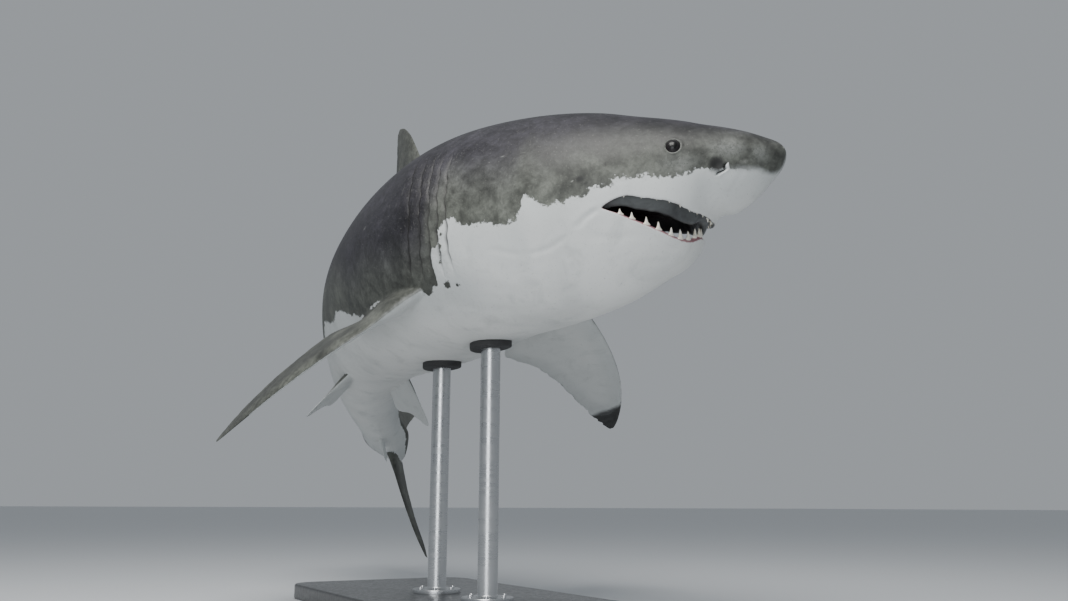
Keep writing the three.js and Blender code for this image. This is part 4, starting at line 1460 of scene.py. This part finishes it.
def skin_masks():
    """Mottling, specks, pores and grain of shark skin, all from the place on the object."""
    names = ("Mottle", "Patch", "Fine", "Speck", "Streak", "Pore", "Grain", "Ragged", "Wrinkle")
    group, out = new_group("skin_masks", names)
    place = group.nodes.new("ShaderNodeTexCoord").outputs["Object"]
    values = {
        "Mottle": noise(group, place, 11, 6, 0.66, 0.5),
        "Patch": noise(group, place, 2.8, 5, 0.6, 0.4),
        "Fine": noise(group, place, 46, 5, 0.7, 0.3),
        "Speck": noise(group, place, 150, 3, 0.65),
        "Streak": noise(group, place, 30, 5, 0.75, 1.2),
        "Grain": noise(group, place, 520, 2, 0.6),
    }
    on_skin = group.nodes.new("ShaderNodeCombineXYZ")
    group.links.new(maths(group, "MULTIPLY", mark(group, "along"), 4.5), on_skin.inputs["X"])
    group.links.new(maths(group, "MULTIPLY", mark(group, "around"), 2.2), on_skin.inputs["Y"])
    values["Wrinkle"] = noise(group, on_skin.outputs["Vector"], 1.0, 3, 0.6, 0.8)
    cells = group.nodes.new("ShaderNodeTexVoronoi")
    cells.inputs["Scale"].default_value = 170
    cells.inputs["Randomness"].default_value = 1
    group.links.new(place, cells.inputs["Vector"])
    values["Pore"] = ramp(group, cells.outputs["Distance"], 0.08, 0.3, 1, 0)
    coarse = noise(group, place, 26, 5, 0.62)
    fine = noise(group, place, 95, 4, 0.6)
    both = maths(group, "ADD", maths(group, "MULTIPLY", coarse, 0.62), maths(group, "MULTIPLY", fine, 0.38))
    values["Ragged"] = maths(group, "SUBTRACT", both, 0.5)
    for name, value in values.items():
        group.links.new(value, out.inputs[name])
    return group


SKIN_MASKS = skin_masks()

# %% The skin


def new_material(name):
    """A material with a Principled shader linked to its output."""
    material = bpy.data.materials.new(name)
    material.use_nodes = True
    tree = material.node_tree
    tree.nodes.clear()
    shader = tree.nodes.new("ShaderNodeBsdfPrincipled")
    output = tree.nodes.new("ShaderNodeOutputMaterial")
    tree.links.new(shader.outputs["BSDF"], output.inputs["Surface"])
    return material, tree, shader


def bump(tree, height, strength, distance, under=None):
    """A bump node's normal."""
    node = tree.nodes.new("ShaderNodeBump")
    node.inputs["Strength"].default_value = strength
    node.inputs["Distance"].default_value = distance
    tree.links.new(height, node.inputs["Height"])
    if under is not None:
        tree.links.new(under, node.inputs["Normal"])
    return node.outputs["Normal"]


def skin_material():
    """Dark back, white belly, their ragged line, blotches, the lining of the mouth, and the fine relief.
    The gill slits, the nostril's slit, the throat and the roof of the mouth are painted darker as shade.
    """
    material, tree, shader = new_material("shark_skin")
    masks = use_group(tree, SKIN_MASKS).outputs
    shade = mark(tree, "shade")
    # The line is ragged on the flank and soft round the snout.
    soft = ramp(tree, mark(tree, "along"), 4.5, 1.5)
    ragged = maths(tree, "MULTIPLY", masks["Ragged"], ramp(tree, mark(tree, "along"), 2.0, 5.5, 0.03, 0.085))
    ragged = maths(tree, "ADD", shade, ragged)
    crisp = ramp(tree, ragged, -0.002, 0.004)
    dark = blended_value(tree, soft, crisp, ramp(tree, ragged, -0.014, 0.022))
    # The back: paler and olive near the line, and dark grey on top, partly its own grey and partly painted
    # shade; in clouds and flecks of three sizes.
    back = blended(tree, ramp(tree, shade, 0.02, 0.26), (0.074, 0.078, 0.068), (0.021, 0.020, 0.025))
    clouds = ramp(tree, masks["Patch"], 0.3, 0.7, 0.72, 1.3)
    clouds = maths(tree, "MULTIPLY", clouds, ramp(tree, masks["Mottle"], 0.32, 0.68, 0.6, 1.4))
    clouds = maths(tree, "MULTIPLY", clouds, ramp(tree, masks["Fine"], 0.3, 0.7, 0.72, 1.28))
    back = blended(tree, 1.0, back, clouds, "MULTIPLY")
    back = blended(tree, ramp(tree, masks["Streak"], 0.58, 0.76, 0, 0.55), back, (0.026, 0.026, 0.026))
    back = blended(tree, ramp(tree, masks["Speck"], 0.6, 0.74, 0, 0.4), back, (0.20, 0.20, 0.18))
    frost = maths(tree, "MULTIPLY", mark(tree, "frost"), ramp(tree, masks["Fine"], 0.3, 0.6, 0.35, 1.0))
    back = blended(tree, maths(tree, "MULTIPLY", frost, 0.6), back, (0.235, 0.245, 0.235))
    pores = maths(tree, "MULTIPLY", masks["Pore"], ramp(tree, mark(tree, "frost"), 0.0, 0.6, 0.12, 0.85))
    back = blended(tree, pores, back, (0.022, 0.022, 0.022))
    # The belly: white, greyer near the line and in faint clouds, with a few small freckles.
    near = ramp(tree, shade, -0.2, 0.0)
    belly = blended(tree, near, (0.70, 0.71, 0.695), (0.53, 0.55, 0.545))
    belly = blended(tree, ramp(tree, masks["Patch"], 0.42, 0.72, 0, 0.4), belly, (0.42, 0.44, 0.435))
    belly = blended(tree, ramp(tree, masks["Mottle"], 0.5, 0.74, 0, 0.35), belly, (0.36, 0.38, 0.375))
    belly = blended(tree, ramp(tree, masks["Speck"], 0.62, 0.7, 0, 0.4), belly, (0.26, 0.27, 0.26))
    colour = blended(tree, dark, belly, back)
    ink = maths(tree, "ADD", mark(tree, "ink"), maths(tree, "MULTIPLY", masks["Ragged"], 0.9))
    colour = blended(tree, ramp(tree, ink, 0.12, 0.85, 0, 0.9), colour, (0.014, 0.014, 0.014))
    pale = maths(tree, "ADD", mark(tree, "pale"), maths(tree, "MULTIPLY", masks["Ragged"], 0.6))
    colour = blended(tree, ramp(tree, pale, 0.2, 0.85, 0, 0.75), colour, (0.40, 0.41, 0.38))
    # Between the gill slits the skin is wrinkled, and peels in pale flecks.
    peel = maths(tree, "MULTIPLY", mark(tree, "wrinkle"), ramp(tree, masks["Wrinkle"], 0.62, 0.74))
    colour = blended(tree, maths(tree, "MULTIPLY", peel, 0.2), colour, (0.25, 0.255, 0.24))
    # Painted shade: the gill slits, a rim ahead of each, and the nostril's slit are painted near black; the
    # scar rings take a little of it as their own dark.
    colour = blended(tree, ramp(tree, mark(tree, "slit"), 0.2, 0.9, 0, 0.97), colour, (0.010, 0.009, 0.009))
    # The mouth: mauve-pink gum below, a grey roof with folds whose dark is partly painted shade, and a throat
    # painted dark as shade.
    gum = blended(tree, ramp(tree, masks["Fine"], 0.35, 0.7), (0.34, 0.185, 0.20), (0.20, 0.10, 0.12))
    roof = blended(tree, ramp(tree, masks["Mottle"], 0.35, 0.7), (0.082, 0.088, 0.088), (0.036, 0.038, 0.040))
    lining = blended(tree, mark(tree, "roof"), gum, roof)
    # Painted shade: the lining darkens deeper into the mouth.
    lining = blended(tree, mark(tree, "deep"), lining, (0.030, 0.018, 0.019))
    colour = blended(tree, mark(tree, "gum"), colour, lining)
    tree.links.new(colour, shader.inputs["Base Color"])
    roughness = ramp(tree, masks["Mottle"], 0.3, 0.7, 0.48, 0.64)
    wet = maths(tree, "MULTIPLY", mark(tree, "gum"), 0.22)
    tree.links.new(maths(tree, "SUBTRACT", roughness, wet), shader.inputs["Roughness"])
    shader.inputs["Specular IOR Level"].default_value = 0.28
    shader.inputs["Coat Weight"].default_value = 0.06
    shader.inputs["Coat Roughness"].default_value = 0.28
    height = maths(tree, "ADD", masks["Grain"], maths(tree, "MULTIPLY", masks["Pore"], -0.5))
    height = maths(tree, "ADD", height, masks["Speck"])
    normal = bump(tree, height, 0.22, 0.0007)
    wavy = maths(tree, "ADD", masks["Mottle"], maths(tree, "MULTIPLY", masks["Fine"], 0.25))
    normal = bump(tree, wavy, 0.16, 0.004, normal)
    folds = maths(tree, "MULTIPLY", masks["Wrinkle"], mark(tree, "wrinkle"))
    normal = bump(tree, folds, 0.45, 0.006, normal)
    tree.links.new(normal, shader.inputs["Normal"])
    return material


def dress(obj, material, replaced=()):
    """Gives a piece its material, its body and the nodes that it replaces."""
    obj.data.materials.clear()
    obj.data.materials.append(material)
    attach(obj, "root")
    if replaced:
        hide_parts(*replaced)


FLESH = [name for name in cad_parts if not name.startswith(("eye", "stand"))]
dress(skin, skin_material(), FLESH)
print("flesh nodes replaced:", len(FLESH))

# %% Teeth and eyes


def tooth_material():
    """Warm white, smooth, a little see-through."""
    material, tree, shader = new_material("tooth_enamel")
    place = tree.nodes.new("ShaderNodeTexCoord").outputs["Object"]
    cloud = ramp(tree, noise(tree, place, 60, 3), 0.35, 0.7)
    tone = blended(tree, cloud, (0.83, 0.80, 0.71), (0.70, 0.66, 0.56))
    tree.links.new(tone, shader.inputs["Base Color"])
    shader.inputs["Roughness"].default_value = 0.24
    shader.inputs["Subsurface Weight"].default_value = 0.12
    shader.inputs["Subsurface Radius"].default_value = (0.004, 0.003, 0.002)
    shader.inputs["Subsurface Scale"].default_value = 1.0
    return material


def eye_material():
    """Black pupil, a dark ring of iris, and a faint gloss."""
    material, tree, shader = new_material("eye_ball")
    polar = mark(tree, "along")
    place = tree.nodes.new("ShaderNodeTexCoord").outputs["Object"]
    cloud = ramp(tree, noise(tree, place, 220, 4, 0.7), 0.35, 0.7)
    iris = blended(tree, cloud, (0.006, 0.005, 0.006), (0.016, 0.013, 0.014))
    colour = blended(tree, ramp(tree, polar, 0.13, 0.16), (0.003, 0.003, 0.003), iris)
    colour = blended(tree, ramp(tree, polar, 0.27, 0.31), colour, (0.012, 0.010, 0.010))
    tree.links.new(colour, shader.inputs["Base Color"])
    shader.inputs["Roughness"].default_value = 0.3
    shader.inputs["Specular IOR Level"].default_value = 0.2
    shader.inputs["Coat Weight"].default_value = 0.18
    shader.inputs["Coat Roughness"].default_value = 0.16
    return material


dress(teeth, tooth_material())
for eye, name in zip(eyes, ("eye_right", "eye_left")):
    dress(eye, eye_material() if name == "eye_right" else eyes[0].data.materials[0], [name])

# %% [markdown]
# ## The stand
#
# A museum holds such a model over a plinth on two rods. The plinth is a flat slab in satin black lacquer.
# The rods are turned steel with a flange at the foot, and rubber pads lie between them and the belly.

# %% The stand's shapes
BASE = {"length": 1.5, "width": 0.8, "corner": 0.11, "height": 0.06, "bevel": 0.008}
ROD_STATIONS = (26.8, 36)
ROD_RADIUS, SADDLE_RADIUS, SADDLE_THICKNESS = 0.036, 0.078, 0.022


def base_piece():
    """A slab whose outline has round corners. Its edge profile is a quarter circle above and below."""
    corner = np.linspace(0, np.pi / 2, 17)
    x, y, r = BASE["length"] / 2, BASE["width"] / 2, BASE["corner"]
    outline = []
    for cx, cy, start in ((x - r, y - r, 0), (r - x, y - r, 1), (r - x, r - y, 2), (x - r, r - y, 3)):
        turn = corner + start * np.pi / 2
        outline.append(np.stack([cx + r * np.cos(turn), cy + r * np.sin(turn), turn * 0], -1))
    outline = np.vstack(outline)
    turns = [corner + k * np.pi / 2 for k in range(4)]
    inward = np.vstack([np.stack([np.cos(turn), np.sin(turn), corner * 0], -1) for turn in turns])
    b, h = BASE["bevel"], BASE["height"]
    quarter = np.linspace(0, np.pi / 2, 7)
    rings = [(b * (1 - np.sin(a)), b * (1 - np.cos(a))) for a in quarter]
    rings = rings + [(inset, h - z) for inset, z in rings[::-1]]
    points = np.stack([outline - inset * inward + np.array([0, 0, z]) for inset, z in rings])
    middle = [np.broadcast_to([0, 0, z], (1, *points.shape[1:])) for z in (0, h)]
    return np.concatenate([middle[0], points, middle[1]])


def lathe(profile, x, y, sides=96):
    """A turned shape round a vertical line: profile rows are (radius, height)."""
    turn = np.arange(sides) / sides * 2 * np.pi
    radius, height = np.array(profile).T
    return np.stack([
        x + radius[:, None] * np.cos(turn), y + radius[:, None] * np.sin(turn), height[:, None] + 0 * turn,
    ], -1)


def rod_foot(station):
    """Where a rod stands and the height of the belly over it."""
    return body_place(*[np.array(value) for value in (station, 0, through(SECTIONS, station)[1])])


def under_belly(x, y, off, station):
    """Height of the surface off metres outside the skin over points on the floor, by Newton's method: the
    station and angle are corrected until the point lies over (x, y)."""
    station, angle = station + 0 * x, 180 + 0 * x
    for _ in range(8):
        here = skin_off(station, angle, off + 0 * x)
        ds = (skin_off(station + 0.05, angle, off + 0 * x) - here) / 0.05
        da = (skin_off(station, angle + 0.5, off + 0 * x) - here) / 0.5
        gap_x, gap_y = x - here[..., 0], y - here[..., 1]
        area = ds[..., 0] * da[..., 1] - ds[..., 1] * da[..., 0]
        station = station + (gap_x * da[..., 1] - gap_y * da[..., 0]) / area
        angle = angle + (ds[..., 0] * gap_y - ds[..., 1] * gap_x) / area
    return skin_off(station, angle, off + 0 * x)[..., 2]


def rod_piece(station):
    """Foot flange, fillet and shaft. The top follows the curve of the belly below its pad."""
    x, y, _ = rod_foot(station)
    bottom = BASE["height"] + 0.0005
    top = bottom + 0.014
    sweep = np.linspace(0, 1.571, 7)
    fillet = [(ROD_RADIUS + 0.010 * (1 - np.sin(a)), top + 0.010 * (1 - np.cos(a))) for a in sweep]
    sweep = np.linspace(0, 1.571, 5)
    edge = [(0.092 - 0.003 * (1 - np.cos(a)), top - 0.003 * (1 - np.sin(a))) for a in sweep]
    profile = [(0, bottom), (0.092, bottom), *edge, *fillet]
    foot = lathe(profile, x, y)
    ends = lathe([(ROD_RADIUS, 0), (0.6 * ROD_RADIUS, 0), (0, 0)], x, y)
    ends[..., 2] = under_belly(ends[..., 0], ends[..., 1], SADDLE_THICKNESS, station)
    return np.concatenate([foot, ends])


def pad_piece(station):
    """A round pad with soft edges whose top and underside both follow the belly."""
    x, y, _ = rod_foot(station)
    rows = [(0, 22), (0.4, 22), (0.8, 22), (0.955, 22), (0.985, 21)]
    rows = rows + [(1, 18.5), (1, 4), (1, -1), (0.6, -1), (0, -1)]
    disc = lathe([(SADDLE_RADIUS * share, 0) for share, _ in rows], x, y)
    off = np.array([row[1] for row in rows])[:, None] * MM
    disc[..., 2] = under_belly(disc[..., 0], disc[..., 1], off + 0 * disc[..., 0], station)
    return disc


def screws(station, count=6):
    """Cap screws round a flange: a turned head with a hollow in it."""
    x, y, _ = rod_foot(station)
    top = BASE["height"] + 0.0145
    profile = [
        (0, top - 0.001), (0.0075, top - 0.001), (0.0075, top + 0.0065), (0.0068, top + 0.0075),
        (0.0042, top + 0.0075), (0.0038, top + 0.007), (0.0036, top + 0.0035), (0, top + 0.003),
    ]
    turns = (np.arange(count) + 0.5) / count * 2 * np.pi
    return [lathe(profile, x + 0.068 * np.cos(a), y + 0.068 * np.sin(a), 24) for a in turns]


stand_base = joined_piece("plinth", [base_piece()])
rods = [joined_piece(f"rod_{end}", [rod_piece(s)]) for end, s in zip(("front", "rear"), ROD_STATIONS)]
pads = [joined_piece(f"pad_{end}", [pad_piece(s)]) for end, s in zip(("front", "rear"), ROD_STATIONS)]
screw_heads = joined_piece("screws", [*screws(ROD_STATIONS[0]), *screws(ROD_STATIONS[1])])

# %% The stand's materials


def stand_material(name, colour, roughness, metallic, grain, coat=0.0):
    """One finish, with a faint variation in its gloss."""
    material, tree, shader = new_material(name)
    place = tree.nodes.new("ShaderNodeTexCoord").outputs["Object"]
    stretch = tree.nodes.new("ShaderNodeMapping")
    stretch.inputs["Scale"].default_value = grain
    tree.links.new(place, stretch.inputs["Vector"])
    value = noise(tree, stretch.outputs["Vector"], 1, 4, 0.6)
    tree.links.new(ramp(tree, value, 0.3, 0.7, roughness * 0.8, roughness * 1.2), shader.inputs["Roughness"])
    shader.inputs["Base Color"].default_value = (*colour, 1)
    shader.inputs["Metallic"].default_value = metallic
    shader.inputs["Coat Weight"].default_value = coat
    shader.inputs["Coat Roughness"].default_value = 0.12
    return material


lacquer = stand_material("black_lacquer", (0.018, 0.019, 0.02), 0.34, 0.0, (60, 60, 60), 0.3)
steel = stand_material("brushed_steel", (0.55, 0.56, 0.57), 0.3, 1.0, (6, 6, 60))
rubber = stand_material("black_rubber", (0.03, 0.03, 0.031), 0.75, 0.0, (400, 400, 400))
dress(stand_base, lacquer, ["stand_base"])
dress(screw_heads, steel)
for end, rod, pad in zip(("front", "rear"), rods, pads):
    dress(rod, steel, [f"stand_rod_{end}"])
    dress(pad, rubber, [f"stand_saddle_{end}"])
for piece in (stand_base, *rods, screw_heads):
    piece.data.set_sharp_from_angle(angle=np.radians(38))

# %% [markdown]
# ## Floor, light and camera
#
# A pale floor, one large soft light from above and ahead, a weaker one low beside the head and a bright
# surround.

# %% Floor and light
floor_mesh = bpy.data.meshes.new("floor")
floor_mesh.from_pydata([(-200, -200, 0), (200, -200, 0), (200, 200, 0), (-200, 200, 0)], [], [(0, 1, 2, 3)])
floor = bpy.data.objects.new("floor", floor_mesh)
bpy.context.scene.collection.objects.link(floor)
floor_material, _, floor_shader = new_material("pale_floor")
floor_shader.inputs["Base Color"].default_value = (0.62, 0.64, 0.66, 1)
floor_shader.inputs["Roughness"].default_value = 0.6
floor_mesh.materials.append(floor_material)


def area_light(name, place, target, size, power, colour=(1, 1, 1)):
    """A square light facing a target."""
    lamp = bpy.data.lights.new(name, "AREA")
    lamp.shape, lamp.size, lamp.energy, lamp.color = "SQUARE", size, power, colour
    holder = bpy.data.objects.new(name, lamp)
    holder.location = place
    holder.rotation_euler = (Vector(target) - Vector(place)).to_track_quat("-Z", "Y").to_euler()
    bpy.context.scene.collection.objects.link(holder)
    return holder


area_light("key", (2.4, -2.0, 4.8), (0.4, 0, 1.2), 3.0, 340, (1.0, 0.985, 0.96))
area_light("fill", (4.4, -3.4, 1.6), (0.8, 0, 1.2), 2.4, 75, (0.94, 0.97, 1.0))
world = bpy.data.worlds.new("surround")
world.use_nodes = True
bpy.context.scene.world = world
world.node_tree.nodes["Background"].inputs["Color"].default_value = (0.80, 0.85, 0.90, 1)
world.node_tree.nodes["Background"].inputs["Strength"].default_value = 0.42

# %% Camera
RIGHT = Vector((0.49938745, 0.86636992, 0.00391612))
FORWARD = Vector((-0.847549, 0.48759157, 0.20955943))
UP = RIGHT.cross(FORWARD)
lens = bpy.data.cameras.new("camera")
lens.sensor_width, lens.lens = 36, 32.35
camera = bpy.data.objects.new("camera", lens)
camera.location = (3.514, -1.634, 0.386)
turn = np.array([RIGHT, UP, -FORWARD]).T
camera.rotation_euler = Matrix(turn.tolist()).to_euler()
bpy.context.scene.collection.objects.link(camera)
bpy.context.scene.camera = camera

# %% [markdown]
# ## End
#
# The dressed shark may differ from the solids only by the softness of its skin. The scene is brought up to
# date.

# %% End
bpy.context.view_layer.update()
